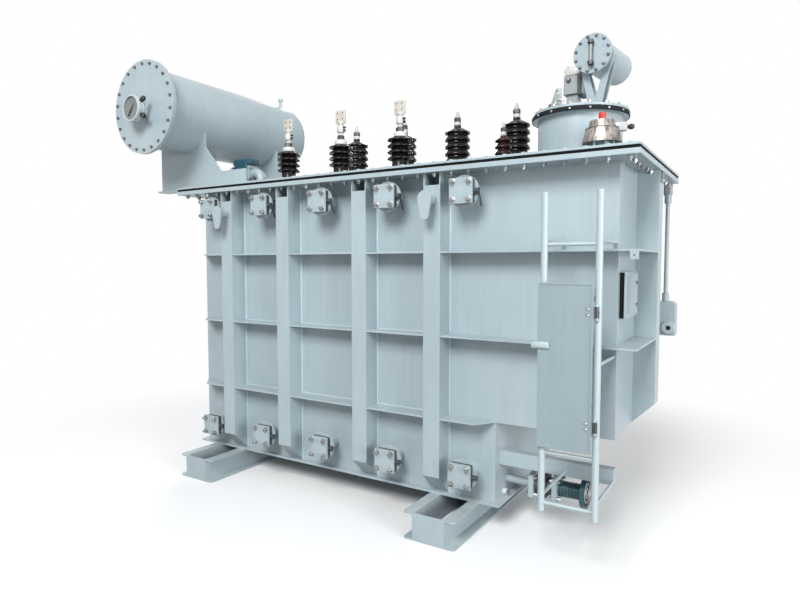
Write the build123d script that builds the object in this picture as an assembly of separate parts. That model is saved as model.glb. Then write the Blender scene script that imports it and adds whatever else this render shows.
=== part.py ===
"""Oil-filled power transformer with an on-load tap changer, standing on its two base beams.

Modelled from the left end wall (x), the front wall (y) and the ground (z), in millimetres,
then moved so that the origin is at the middle of the whole part's footprint.
"""
import os
from math import atan2, degrees, hypot, sqrt

from build123d import *

# Tank plates
lower_length = 2766
bay_overhang = 749
tank_width = 1100
tank_height = 2174
bay_rise = 546
tank_wall = 10
floor_plate = 16
floor_lip = 45
bay_floor_plate = 12
cut_overrun = 5

# Base beams: pairs of channels, flanges outwards
beam_height = 180
beam_length = 1914
beam_gap = 212
beam_web = 9
beam_flange = 78
beam_flange_plate = 11
beam_toe_radius = 24
beam_end_plate = 10
beam_inset_left = 305
beam_inset_right = 279

# Bolted tank flange, gasket and cover
flange_front = 185
flange_end = 140
flange_plate = 30
gasket_thickness = 18
gasket_setback = 4
cover_plate = 14

# Stiffeners
upright_depth = 145
end_upright_depth = 136
upright_width = 126
upright_plate = 8
upright_foot = 135
upright_open_top = 78
upright_place_shares = (0.1525, 0.3765, 0.6398, 0.854)
rib_pitch_share = 0.3397
rib_plate = 12
rib_end_slant = 90
rib_left_slant = 145
rib_tab_side = 46
rib_tab_plate = 8
rib_tab_hole_radius = 6

# Radiator valves with their blank plates
valve_place_shares = (0.084, 0.298, 0.512, 0.726, 0.936)
valve_drop = 132
valve_rise = 208
stub_radius = 57
stub_length = 118
stub_flange = 16
stub_flange_radius = 104
valve_plate_side = 160
valve_plate_corner = 6
valve_body_side = 150
valve_body_thickness = 34
lever_boss_radius = 16
lever_boss_length = 10
lever_width = 14
lever_length = 104
lever_thickness = 6
lever_lean = 24
blank_plate = 16

# Lifting trunnions on the outer uprights
trunnion_drop = 172
trunnion_radius = 38
trunnion_length = 88
keeper_radius = 50
keeper_tail_radius = 32
keeper_tail = 105
keeper_plate = 14

# Main conservator, lying across the left end
conservator_offset = 275
conservator_height = 666
conservator_radius = 330
conservator_wall = 6
conservator_disc_radius = 388
conservator_disc = 16
conservator_front = 400
conservator_shell_length = 1625
dish_depth = 116
dish_knuckle = 70
seat_clearance = 0.2

# Conservator saddles
saddle_plate = 16
saddle_front = 0
saddle_pitch = 890
saddle_left = 315
saddle_right = 780
saddle_base_height = 145
saddle_slope_place = 478
saddle_tip_place = 282
saddle_tip_foot = 372
saddle_tip_top = 500
saddle_foot_width = 110
saddle_foot_plate = 14

# Oil level gauge on the conservator disc
gauge_drop = 35
gauge_neck_radius = 62
gauge_neck_length = 52
gauge_flange_radius = 92
gauge_flange = 14
gauge_dial_radius = 106
gauge_dial_length = 48
gauge_rim = 10
gauge_recess = 8

# Gas relay and its pipe between cover and conservator
relay_place = 300
relay_middle = 185
relay_pipe_radius = 42
relay_pipe_wall = 4
relay_rise = 155
relay_elbow_place = 388
relay_riser_offset = 20
relay_bend_radius = 70
relay_flange_side = 132
relay_flange = 16
relay_length = 190
relay_width = 130
relay_height = 150
relay_cap_radius = 38
relay_cap_height = 46
relay_corner = 16

# Vent plug on the conservator
vent_place_share = 0.955
vent_side = 85
vent_radius = 15
vent_height = 52
vent_cap_radius = 23
vent_cap_height = 28

# Bushings
lv_place_shares = (0.2766, 0.4772, 0.6779)
lv_back = 242
lv_shed_radius = 95
lv_core_radius = 66
lv_shed_count = 5
lv_shed_pitch = 52
lv_neck_height = 30
hv_place_shares = (0.3742, 0.5575, 0.7408, 0.9241)
hv_back = 847
hv_shed_radius = 104
hv_core_radius = 68
hv_shed_count = 7
hv_shed_pitch = 62
hv_neck_height = 34
neutral_place_share = 0.9299
neutral_back = 550
neutral_shed_radius = 62
neutral_core_radius = 42
neutral_shed_count = 5
neutral_shed_pitch = 50
neutral_neck_height = 26
shed_lip = 8
clamp_ring_width = 34
clamp_ring_height = 24
clamp_ring_gap = 1
collar_height = 40
collar_radius_share = 0.68
stem_radius = 18
stem_nut_radius = 30
stem_nut_height = 26
lv_stem_height = 120
hv_stem_height = 88
neutral_stem_height = 50
pad_width = 96
pad_height = 118
pad_thickness = 14
pad_hole_radius = 7
pad_hole_spacing = 50

# Tap-changer turret and head
turret_inset = 390
turret_radius = 276
turret_height = 336
turret_flange_radius = 316
turret_flange = 22
head_plate = 24
gearbox_left = 90
gearbox_front = 100
gearbox_width = 115
gearbox_depth = 130
gearbox_height = 118
gearbox_cap_height = 54
gearbox_cap_inset = 12
gearbox_pedestal_height = 118
gearbox_pedestal_inset = 20
gearbox_corner = 14

# Small conservator of the tap changer
small_turn = -7.6
small_offset = 170
small_front = 230
small_height = 308
small_radius = 106
small_wall = 4
small_disc_radius = 122
small_disc = 12
small_length = 400
small_dish = 40
small_knuckle = 22
small_stand_plate = 10
small_stand_first = 36
small_stand_pitch = 60
small_stand_top_share = 0.92
small_stand_foot_half = 42
small_stand_bar = 34
small_stand_foot = 40
sight_glass_radius = 9
sight_glass_length = 158
sight_fitting_radius = 17
sight_fitting_height = 26
sight_stand_off = 22

# Pressure relief valve
relief_inset = 148
relief_back = 165
relief_base_radius = 92
relief_base = 16
relief_body_radius = 78
relief_body_height = 110
relief_core_radius = 46
relief_seat = 16
relief_post_radius = 9
relief_post_circle = 66
relief_post_count = 6
relief_hood_radius = 117
relief_hood_wall = 3
relief_hood_lift = 74
relief_hood_height = 85
relief_hood_shoulder_radius = 95
relief_crown_foot_radius = 82
relief_crown_top_radius = 73
relief_cap_height = 48
relief_button_radius = 21
relief_button_height = 50

# Tap-changer drive at the back right corner
drive_out = 65
bevel_gap = 2
bevel_side = 60
bevel_height = 128
bevel_drop = 60
shaft_radius = 15
coupling_radius = 25
coupling_length = 62
motor_drive_width = 220
motor_drive_depth = 120
motor_drive_height = 255
motor_drive_rise = 190
motor_drive_reach = 143
motor_carrier_plate = 10
motor_drive_corner = 36

# Ladder with its hinged guard
ladder_inset = 166
ladder_width = 298
ladder_stand_off = 370
ladder_foot = 372
ladder_height = 1778
stile_radius = 19
rung_radius = 11
rung_first = 46
rung_pitch = 290
standoff_radius = 10
standoff_upper = 1885
standoff_middle = 1220
standoff_lower = 455
guard_bottom = 745
guard_height = 915
guard_plate = 4
guard_clear = 14
hinge_pin_radius = 6
hinge_knuckle_radius = 11
hinge_knuckle_length = 60
hinge_lug_height = 12
hinge_pin_clearance = 0.3
hinge_end_clearance = 1
hinge_rise_shares = (0.13, 0.80)
hinge_edge_gap = 6
hasp_width = 74
hasp_height = 44
hasp_plate = 6
hasp_rise_share = 0.60

# Bracket beam and oil pump line under the bay
bracket_front = 60
bracket_bottom = 433
bracket_height = 95
bracket_depth = 62
bracket_plate = 6
bracket_length = 733
pump_back = 200
pump_axis_height = 300
pump_pipe_radius = 28
pump_pipe_length = 180
pump_flange_side = 150
pump_flange = 32
pump_valve_radius = 58
pump_valve_length = 124
pump_valve_side = 128
pump_valve_plate = 40
pump_motor_radius = 52
pump_motor_length = 150
pump_fin_count = 7
pump_fin_depth = 6
pump_fan_radius = 96
pump_fan_length = 32
pump_fan_wall = 3

# Plain instrument box on the right end wall
box_front = 30
box_width = 350
box_rise_share = 0.275
box_height_share = 0.51
box_depth = 34
box_corner = 6

# Worked-out places
tank_length = lower_length + bay_overhang
floor_bottom = beam_height
floor_top = floor_bottom + floor_plate
bay_bottom = floor_bottom + bay_rise
flange_bottom = floor_bottom + tank_height
gasket_bottom = flange_bottom + flange_plate
cover_bottom = gasket_bottom + gasket_thickness
cover_top = cover_bottom + cover_plate
mid_width = tank_width / 2
upright_places = [share * lower_length for share in upright_place_shares]
rib_pitch = rib_pitch_share * (flange_bottom - bay_bottom)
rib_levels = [bay_bottom + step * rib_pitch for step in range(3)]

nodes = {}


def block(x0, x1, y0, y1, z0, z1):
    """A box between two corners."""
    middle = ((x0 + x1) / 2, (y0 + y1) / 2, (z0 + z1) / 2)
    return Pos(*middle) * Box(x1 - x0, y1 - y0, z1 - z0)


def plate_front(points, y0, y1):
    """A plate with an outline in x and z, reaching from y0 to y1."""
    outline = make_face(Plane.XZ.offset(-y0) * Polyline(*points, close=True))
    return extrude(outline, amount=y1 - y0, dir=(0, 1, 0))


def plate_side(points, x0, x1):
    """A plate with an outline in y and z, reaching from x0 to x1."""
    outline = make_face(Plane.YZ.offset(x0) * Polyline(*points, close=True))
    return extrude(outline, amount=x1 - x0, dir=(1, 0, 0))


def plate_flat(points, z0, z1):
    """A plate with an outline in x and y, reaching from z0 to z1."""
    outline = make_face(Plane.XY.offset(z0) * Polyline(*points, close=True))
    return extrude(outline, amount=z1 - z0, dir=(0, 0, 1))


def rod_x(radius, x0, x1, y, z):
    """A round bar along x."""
    return extrude(Plane.YZ.offset(x0) * Pos(y, z) * Circle(radius), amount=x1 - x0)


def rod_y(radius, y0, y1, x, z):
    """A round bar along y."""
    return extrude(Plane.XZ.offset(-y0) * Pos(x, z) * Circle(radius), amount=y0 - y1)


def rod_z(radius, z0, z1, x, y):
    """A round bar along z."""
    return extrude(Plane.XY.offset(z0) * Pos(x, y) * Circle(radius), amount=z1 - z0)


def turned_z(points, x, y):
    """A body turned about an upright axis, from its outline in radius and height."""
    outline = make_face(Plane.XZ * Polyline(*points, close=True))
    return Pos(x, y) * revolve(outline, axis=Axis.Z)


def square_y(side, corner, y0, y1, x, z):
    """A square plate with rounded corners, facing along y."""
    outline = Plane.XZ.offset(-y0) * Pos(x, z) * RectangleRounded(side, side, corner)
    return extrude(outline, amount=y0 - y1)


def square_x(side, corner, x0, x1, y, z):
    """A square plate with rounded corners, facing along x."""
    outline = Plane.YZ.offset(x0) * Pos(y, z) * RectangleRounded(side, side, corner)
    return extrude(outline, amount=x1 - x0)


def across(solid):
    """The same piece on the other long side of the tank."""
    return mirror(solid, about=Plane.XZ.offset(-mid_width))


def keep(name, *solids):
    """File the solids of one node."""
    nodes.setdefault(name, []).extend(solids)


def base_beam(x_middle):
    """Two channels back to back with a gap, closed by a plate at each end."""
    y0 = mid_width - beam_length / 2
    y1 = mid_width + beam_length / 2
    half_gap = beam_gap / 2
    tip = half_gap + beam_flange
    web_face = half_gap + beam_web
    channel = [
        (half_gap, 0),
        (tip, 0),
        (tip, beam_flange_plate),
        (web_face, beam_flange_plate),
        (web_face, beam_height - beam_flange_plate),
        (tip, beam_height - beam_flange_plate),
        (tip, beam_height),
        (half_gap, beam_height),
    ]
    right = plate_front([(x_middle + x, z) for x, z in channel], y0, y1)
    toes = right.edges().filter_by(Axis.Z).group_by(Axis.X)[-1]
    right = fillet(toes, beam_toe_radius)
    left = mirror(right, about=Plane.YZ.offset(x_middle))
    beam = right + left
    for y in (y0, y1 - beam_end_plate):
        beam += block(x_middle - half_gap, x_middle + half_gap, y, y + beam_end_plate, 0, beam_height)
    return beam


keep("base_beam_left", base_beam(beam_inset_left))
keep("base_beam_right", base_beam(lower_length - beam_inset_right))


# Tank shell: the upper box is longer than the lower one by the tap-changer bay
keep("tank_floor", block(-floor_lip, lower_length + floor_lip, -floor_lip, tank_width + floor_lip,
                         floor_bottom, floor_top))
long_wall = [
    (0, floor_top),
    (lower_length, floor_top),
    (lower_length, bay_bottom),
    (tank_length, bay_bottom),
    (tank_length, flange_bottom),
    (0, flange_bottom),
]
inner_front = tank_wall
inner_back = tank_width - tank_wall
keep("front_wall", plate_front(long_wall, 0, inner_front))
keep("back_wall", plate_front(long_wall, inner_back, tank_width))
keep("left_end_wall", block(0, tank_wall, inner_front, inner_back, floor_top, flange_bottom))
keep("lower_end_wall", block(lower_length - tank_wall, lower_length, inner_front, inner_back,
                             floor_top, bay_bottom))
keep("bay_floor", block(lower_length - tank_wall, tank_length - tank_wall, inner_front, inner_back,
                        bay_bottom, bay_bottom + bay_floor_plate))
keep("right_end_wall", block(tank_length - tank_wall, tank_length, inner_front, inner_back,
                             bay_bottom, flange_bottom))


def ring_plate(setback, z0, z1):
    """A frame that follows the tank's rim, open over the tank."""
    rim = block(setback - flange_end, tank_length + flange_end - setback,
                setback - flange_front, tank_width + flange_front - setback, z0, z1)
    opening = block(tank_wall, tank_length - tank_wall, inner_front, inner_back,
                    z0 - cut_overrun, z1 + cut_overrun)
    return rim - opening


keep("tank_flange", ring_plate(0, flange_bottom, gasket_bottom))
keep("cover_gasket", ring_plate(gasket_setback, gasket_bottom, cover_bottom))
keep("cover", block(-flange_end, tank_length + flange_end, -flange_front, tank_width + flange_front,
                    cover_bottom, cover_top))


def upright(depth, z0):
    """A box stiffener at x = 0 against y = 0: slanted foot, and webs left open at the top."""
    half = upright_width / 2
    inner = half - upright_plate
    z1 = z0 + upright_foot
    outer_face = [(0, z0), (-depth, z1), (-depth, flange_bottom), (0, flange_bottom)]
    lift = upright_plate * hypot(depth, upright_foot) / depth
    rise = upright_foot / depth
    back = cut_overrun
    front = depth - upright_plate
    hollow = [
        (back, z0 + lift - back * rise),
        (-front, z0 + lift + front * rise),
        (-front, flange_bottom + cut_overrun),
        (back, flange_bottom + cut_overrun),
    ]
    body = plate_side(outer_face, -half, half) - plate_side(hollow, -inner, inner)
    body -= block(-inner, inner, -depth - cut_overrun, -front + cut_overrun,
                  flange_bottom - upright_open_top, flange_bottom + cut_overrun)
    return body


for place in upright_places:
    front_upright = Pos(place, 0) * upright(upright_depth, floor_top)
    keep("front_uprights", front_upright)
    keep("back_uprights", across(front_upright))
keep("end_uprights",
     Pos(tank_length, mid_width) * Rot(0, 0, 90) * upright(end_upright_depth, bay_bottom),
     Pos(0, mid_width) * Rot(0, 0, -90) * upright(end_upright_depth, floor_top))


def rib_outlines(level_index, turns_corner):
    """Outlines in x and y of the flat ribs at one level of the front, from the left end upright on."""
    half = upright_width / 2
    near = mid_width - half
    outlines = [
        [(upright_places[0] - half, 0), (upright_places[0] - half, -upright_depth),
         (rib_left_slant, -upright_depth), (0, 0)],
        [(0, inner_front), (-end_upright_depth, inner_front + rib_left_slant),
         (-end_upright_depth, near), (0, near)],
    ]
    for left, right in zip(upright_places, upright_places[1:]):
        outlines.append([
            (left + half, 0),
            (left + half, -upright_depth),
            (right - half, -upright_depth),
            (right - half, 0),
        ])
    last = upright_places[-1] + half
    if turns_corner:
        end = tank_length + end_upright_depth
        outlines.append([(last, 0), (last, -upright_depth), (end, -upright_depth),
                         (end, near), (tank_length, near), (tank_length, 0)])
    else:
        end = lower_length if level_index == 0 else tank_length
        outlines.append([(last, 0), (last, -upright_depth), (end - rib_end_slant, -upright_depth), (end, 0)])
    return outlines


def corner_tab(level):
    """A small tab with a hole, hanging from a rib's front right corner."""
    right = tank_length + end_upright_depth
    left = right - rib_tab_side
    face = -upright_depth
    tab = block(left, right, face, face + rib_tab_plate, level - rib_tab_side, level)
    hole = rod_y(rib_tab_hole_radius, face - cut_overrun, face + rib_tab_plate + cut_overrun,
                 (left + right) / 2, level - rib_tab_side / 2)
    return tab - hole


for level_index, level in enumerate(rib_levels):
    for outline in rib_outlines(level_index, False):
        keep("back_ribs", across(plate_flat(outline, level, level + rib_plate)))
    front_outlines = rib_outlines(level_index, level_index > 0)
    for outline in front_outlines:
        rib = plate_flat(outline, level, level + rib_plate)
        if level_index == 2 and outline is front_outlines[-1]:
            rib += corner_tab(level)
        keep("front_ribs", rib)


def radiator_valve(x, z, has_lever):
    """Pipe stub with its round flange, square butterfly valve on a spindle, and blank plate."""
    flange_back = -stub_length
    flange_face = flange_back - stub_flange
    valve_face = flange_face - valve_body_thickness
    stub = rod_y(stub_radius, flange_back, 0, x, z)
    stub += rod_y(stub_flange_radius, flange_face, flange_back, x, z)
    valve = square_y(valve_body_side, valve_plate_corner, valve_face, flange_face, x, z)
    boss_y = (valve_face + flange_face) / 2
    boss_end = x + stub_flange_radius + lever_boss_length
    valve += rod_x(lever_boss_radius, x, boss_end, boss_y, z)
    if has_lever:
        lever = block(boss_end - lever_thickness, boss_end, -lever_width / 2, lever_width / 2,
                      -lever_length, 0)
        valve += Pos(0, boss_y, z) * Rot(lever_lean, 0, 0) * lever
    blank = square_y(valve_plate_side, valve_plate_corner, valve_face - blank_plate, valve_face, x, z)
    return stub, valve, blank


for share in valve_place_shares:
    for z, has_lever in ((flange_bottom - valve_drop, True), (floor_bottom + valve_rise, False)):
        stub, valve, blank = radiator_valve(share * lower_length, z, has_lever)
        keep("radiator_stubs", stub, across(stub))
        keep("radiator_valves", valve, across(valve))
        keep("blank_plates", blank, across(blank))

for place in (upright_places[0], upright_places[-1]):
    axis_z = flange_bottom - trunnion_drop
    plate_back = -upright_depth - trunnion_length
    trunnion = rod_y(trunnion_radius, plate_back, -upright_depth, place, axis_z)
    crown = Pos(place, axis_z) * Circle(keeper_radius)
    tail = Pos(place, axis_z - keeper_tail) * Circle(keeper_tail_radius)
    teardrop = make_hull(crown.edges() + tail.edges())
    trunnion += extrude(Plane.XZ.offset(-plate_back) * teardrop, amount=keeper_plate)
    keep("lifting_trunnions", trunnion, across(trunnion))


# Main conservator: shell, bolted front disc and dished rear end
axis_x = -conservator_offset
axis_z = cover_top + conservator_height
disc_back = -conservator_front + conservator_disc
shell_rear = disc_back + conservator_shell_length
inner_radius = conservator_radius - conservator_wall
shell = rod_y(conservator_radius, disc_back, shell_rear, axis_x, axis_z)
shell += rod_y(conservator_disc_radius, disc_back, disc_back + conservator_disc, axis_x, axis_z)
shell -= rod_y(inner_radius, disc_back - cut_overrun, shell_rear + cut_overrun, axis_x, axis_z)


def dished_end(radius, depth, knuckle, wall, y, x, z):
    """A pressed end along +y: a rounded knuckle at the rim running into a shallow crown."""
    rim = radius - knuckle
    crown = (rim**2 + depth**2 - knuckle**2) / (2 * (depth - knuckle))
    sink = depth - crown
    turn = degrees(atan2(-sink, rim))

    def curve(inset):
        bend = CenterArc((rim, 0), knuckle - inset, 0, turn)
        dome = CenterArc((0, sink), crown - inset, turn, 90 - turn)
        return bend + dome

    outer = curve(0)
    inner = curve(wall)
    edge = Line((radius, 0), (radius - wall, 0))
    pole = Line((0, depth), (0, depth - wall))
    pressing = revolve(make_face(outer + pole + inner + edge), axis=Axis.Y)
    return Pos(x, y, z) * pressing


vent_y = disc_back + vent_place_share * conservator_shell_length
vent_foot = axis_z + conservator_radius
vent_x = axis_x + vent_side
vent = rod_z(vent_radius, axis_z, vent_foot + vent_height, vent_x, vent_y)
vent += rod_z(vent_cap_radius, vent_foot + vent_height, vent_foot + vent_height + vent_cap_height,
              vent_x, vent_y)
vent -= rod_y(conservator_radius + seat_clearance, disc_back, shell_rear, axis_x, axis_z)
keep("vent_plug", vent)
keep("conservator_shell", shell)
keep("conservator_end_disc",
     rod_y(conservator_disc_radius, -conservator_front, disc_back, axis_x, axis_z))
keep("conservator_dished_end",
     dished_end(conservator_radius, dish_depth, dish_knuckle, conservator_wall, shell_rear, axis_x, axis_z))


def saddle(y):
    """A cradle plate on a foot bar: its long toe bolts to the cover, its heel hangs past the end."""
    foot_top = cover_top + saddle_foot_plate
    toe = axis_x + saddle_right
    outline = [
        (axis_x - saddle_left, foot_top),
        (toe, foot_top),
        (toe, cover_top + saddle_base_height),
        (axis_x + saddle_slope_place, cover_top + saddle_base_height),
        (axis_x + saddle_tip_place, cover_top + saddle_tip_foot),
        (axis_x + saddle_tip_place, cover_top + saddle_tip_top),
        (axis_x, axis_z),
        (axis_x - saddle_left, axis_z),
    ]
    plate = plate_front(outline, y, y + saddle_plate)
    seat = conservator_radius + seat_clearance
    plate -= rod_y(seat, y - cut_overrun, y + saddle_plate + cut_overrun, axis_x, axis_z)
    middle = y + saddle_plate / 2
    foot = block(axis_x - saddle_left, toe, middle - saddle_foot_width / 2, middle + saddle_foot_width / 2,
                 cover_top, foot_top)
    return plate + foot


keep("conservator_saddles", saddle(saddle_front), saddle(saddle_front + saddle_pitch))

gauge_z = axis_z - gauge_drop
neck_front = -conservator_front - gauge_neck_length
dial_back = neck_front - gauge_flange
dial_front = dial_back - gauge_dial_length
gauge = rod_y(gauge_neck_radius, neck_front, -conservator_front, axis_x, gauge_z)
gauge += rod_y(gauge_flange_radius, dial_back, neck_front, axis_x, gauge_z)
gauge += rod_y(gauge_dial_radius, dial_front, dial_back, axis_x, gauge_z)
gauge -= rod_y(gauge_dial_radius - gauge_rim, dial_front - cut_overrun, dial_front + gauge_recess,
               axis_x, gauge_z)
keep("oil_level_gauge", gauge)

# Gas relay between two flanged bends
relay_z = cover_top + relay_rise
riser_x = axis_x + relay_riser_offset
relay_left = relay_middle - relay_length / 2
relay_right = relay_left + relay_length


def bent_pipe(points, radius, wall):
    """A pipe along a route with one rounded bend."""
    route = FilletPolyline(*points, radius=relay_bend_radius)
    start = Plane(route @ 0, z_dir=route % 0)
    bore = sweep(start * Circle(radius - wall), path=route)
    return sweep(start * Circle(radius), path=route) - bore


lower_bend = bent_pipe([(relay_elbow_place, relay_place, cover_top),
                        (relay_elbow_place, relay_place, relay_z),
                        (relay_right, relay_place, relay_z)], relay_pipe_radius, relay_pipe_wall)
riser_top = axis_z - sqrt(conservator_radius**2 - (relay_riser_offset + relay_pipe_radius)**2)
upper_bend = bent_pipe([(relay_left, relay_place, relay_z),
                        (riser_x, relay_place, relay_z),
                        (riser_x, relay_place, riser_top)], relay_pipe_radius, relay_pipe_wall)
upper_bend -= rod_y(conservator_radius + seat_clearance, disc_back, shell_rear, axis_x, axis_z)


def pipe_flange(x):
    """The square flange welded to a relay pipe's end."""
    plate = square_x(relay_flange_side, relay_corner, x, x + relay_flange, relay_place, relay_z)
    bore = relay_pipe_radius - relay_pipe_wall
    return plate - rod_x(bore, x - cut_overrun, x + relay_flange + cut_overrun, relay_place, relay_z)


lower_bend += pipe_flange(relay_right)
upper_bend += pipe_flange(relay_left - relay_flange)
relay = block(relay_left + relay_flange, relay_right - relay_flange,
              relay_place - relay_width / 2, relay_place + relay_width / 2,
              relay_z - relay_height / 2, relay_z + relay_height / 2)
relay = fillet(relay.edges().filter_by(Axis.Z), relay_corner)
for x in (relay_left, relay_right - relay_flange):
    relay += square_x(relay_flange_side, relay_corner, x, x + relay_flange, relay_place, relay_z)
relay += rod_z(relay_cap_radius, relay_z, relay_z + relay_height / 2 + relay_cap_height,
               relay_middle, relay_place)
keep("gas_relay", relay)
keep("relay_pipes", lower_bend, upper_bend)


def insulator(x, y, core, shed, count, pitch, neck):
    """A stack of drip sheds on a tapering core, standing on the cover."""
    outline = [(0, cover_top), (core, cover_top)]
    for step in range(count):
        foot = cover_top + neck + step * pitch
        outline.append((core, foot))
        outline.append((shed, foot))
        outline.append((shed, foot + shed_lip))
    top = cover_top + neck + count * pitch
    collar = core * collar_radius_share
    outline.append((collar, top))
    outline.append((0, top))
    return turned_z(outline, x, y), top


def clamp_ring(x, y, core):
    """The ring that holds an insulator's foot down."""
    ring = rod_z(core + clamp_ring_width, cover_top, cover_top + clamp_ring_height, x, y)
    bore = core + clamp_ring_gap
    return ring - rod_z(bore, cover_top - cut_overrun, cover_top + clamp_ring_height + cut_overrun, x, y)


def terminal(x, y, core, foot, stem_height, flag):
    """Collar, nut and stem, with a four-hole flag on the low-voltage row."""
    collar = core * collar_radius_share
    body = rod_z(collar, foot, foot + collar_height, x, y)
    nut_top = foot + collar_height + stem_nut_height
    body += rod_z(stem_nut_radius, foot + collar_height, nut_top, x, y)
    body += rod_z(stem_radius, nut_top, nut_top + stem_height, x, y)
    if flag:
        z0 = nut_top + stem_height - pad_thickness
        pad = block(x - pad_width / 2, x + pad_width / 2, y - pad_thickness / 2, y + pad_thickness / 2,
                    z0, z0 + pad_height)
        for dx in (-pad_hole_spacing / 2, pad_hole_spacing / 2):
            for dz in (-pad_hole_spacing / 2, pad_hole_spacing / 2):
                pad -= rod_y(pad_hole_radius, y - pad_thickness, y + pad_thickness,
                             x + dx, z0 + pad_height / 2 + dz)
        body += pad
    return body


for share in lv_place_shares:
    x = share * lower_length
    porcelain, top = insulator(x, lv_back, lv_core_radius, lv_shed_radius, lv_shed_count,
                               lv_shed_pitch, lv_neck_height)
    keep("lv_insulators", porcelain)
    keep("clamp_rings", clamp_ring(x, lv_back, lv_core_radius))
    keep("lv_terminals", terminal(x, lv_back, lv_core_radius, top, lv_stem_height, True))
for share in hv_place_shares:
    x = share * lower_length
    porcelain, top = insulator(x, hv_back, hv_core_radius, hv_shed_radius, hv_shed_count,
                               hv_shed_pitch, hv_neck_height)
    keep("hv_insulators", porcelain)
    keep("clamp_rings", clamp_ring(x, hv_back, hv_core_radius))
    keep("hv_terminals", terminal(x, hv_back, hv_core_radius, top, hv_stem_height, False))
neutral_x = neutral_place_share * lower_length
porcelain, top = insulator(neutral_x, neutral_back, neutral_core_radius, neutral_shed_radius,
                           neutral_shed_count, neutral_shed_pitch, neutral_neck_height)
keep("neutral_insulator", porcelain)
keep("clamp_rings", clamp_ring(neutral_x, neutral_back, neutral_core_radius))
keep("hv_terminals", terminal(neutral_x, neutral_back, neutral_core_radius, top,
                              neutral_stem_height, False))

# Tap-changer turret, head and gearbox
turret_x = tank_length - turret_inset
turret_top = cover_top + turret_height
turret = rod_z(turret_radius, cover_top, turret_top, turret_x, mid_width)
turret += rod_z(turret_flange_radius, turret_top - turret_flange, turret_top, turret_x, mid_width)
head_top = turret_top + head_plate
head = rod_z(turret_flange_radius, turret_top, head_top, turret_x, mid_width)
keep("tap_changer_turret", turret)
keep("tap_changer_head", head)
gear_x0 = turret_x - gearbox_left
gear_x1 = gear_x0 + gearbox_width
gear_y0 = mid_width - gearbox_front
gear_y1 = gear_y0 + gearbox_depth
pedestal_top = head_top + gearbox_pedestal_height
gearbox_top = pedestal_top + gearbox_height
gear = block(gear_x0, gear_x1, gear_y0, gear_y1, pedestal_top, gearbox_top)
gear = fillet(gear.edges().filter_by(Axis.Z), gearbox_corner)
gear += block(gear_x0 + gearbox_pedestal_inset, gear_x1 - gearbox_pedestal_inset,
              gear_y0 + gearbox_pedestal_inset, gear_y1 - gearbox_pedestal_inset, head_top, pedestal_top)
gear += block(gear_x0 + gearbox_cap_inset, gear_x1 - gearbox_cap_inset, gear_y0 + gearbox_cap_inset,
              gear_y1 - gearbox_cap_inset, gearbox_top, gearbox_top + gearbox_cap_height)
keep("tap_changer_gearbox", gear)



def swung(solid):
    """The piece turned with the small conservator about the turret's upright axis."""
    return Pos(turret_x, mid_width) * Rot(0, 0, small_turn) * Pos(-turret_x, -mid_width) * solid


# Small conservator on two cradle stands
small_x = turret_x + small_offset
small_y = mid_width - small_front
small_z = head_top + small_height
small_back = small_y + small_disc
small_rear = small_back + small_length
small_shell = rod_y(small_radius, small_back, small_rear, small_x, small_z)
small_shell += rod_y(small_disc_radius, small_back, small_back + small_disc, small_x, small_z)
small_shell -= rod_y(small_radius - small_wall, small_back - cut_overrun, small_rear + cut_overrun,
                     small_x, small_z)
keep("small_conservator_shell", swung(small_shell))
keep("small_conservator_disc", swung(rod_y(small_disc_radius, small_y, small_back, small_x, small_z)))
small_end = dished_end(small_radius, small_dish, small_knuckle, small_wall, small_rear, small_x, small_z)
keep("small_conservator_end", swung(small_end))
for step in range(2):
    y = small_back + small_disc + small_stand_first + step * small_stand_pitch
    half_top = small_radius * small_stand_top_share + small_stand_bar / 2
    outline = [
        (small_x - small_stand_foot_half, head_top),
        (small_x + small_stand_foot_half, head_top),
        (small_x + half_top, small_z),
        (small_x - half_top, small_z),
    ]
    stand = plate_front(outline, y, y + small_stand_plate)
    between = [
        (small_x, head_top + small_stand_foot),
        (small_x + half_top - small_stand_bar, small_z),
        (small_x - half_top + small_stand_bar, small_z),
    ]
    stand -= plate_front(between, y - cut_overrun, y + small_stand_plate + cut_overrun)
    stand -= rod_y(small_radius + seat_clearance, y - cut_overrun, y + small_stand_plate + cut_overrun,
                   small_x, small_z)
    keep("small_conservator_stands", swung(stand))
glass_y = small_y - sight_stand_off
glass_half = sight_glass_length / 2
sight = rod_z(sight_glass_radius, small_z - glass_half, small_z + glass_half, small_x, glass_y)
for z in (small_z - glass_half, small_z + glass_half - sight_fitting_height):
    sight += rod_z(sight_fitting_radius, z, z + sight_fitting_height, small_x, glass_y)
    sight += rod_y(sight_glass_radius, glass_y, small_y, small_x, z + sight_fitting_height / 2)
keep("sight_glass", swung(sight))

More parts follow.
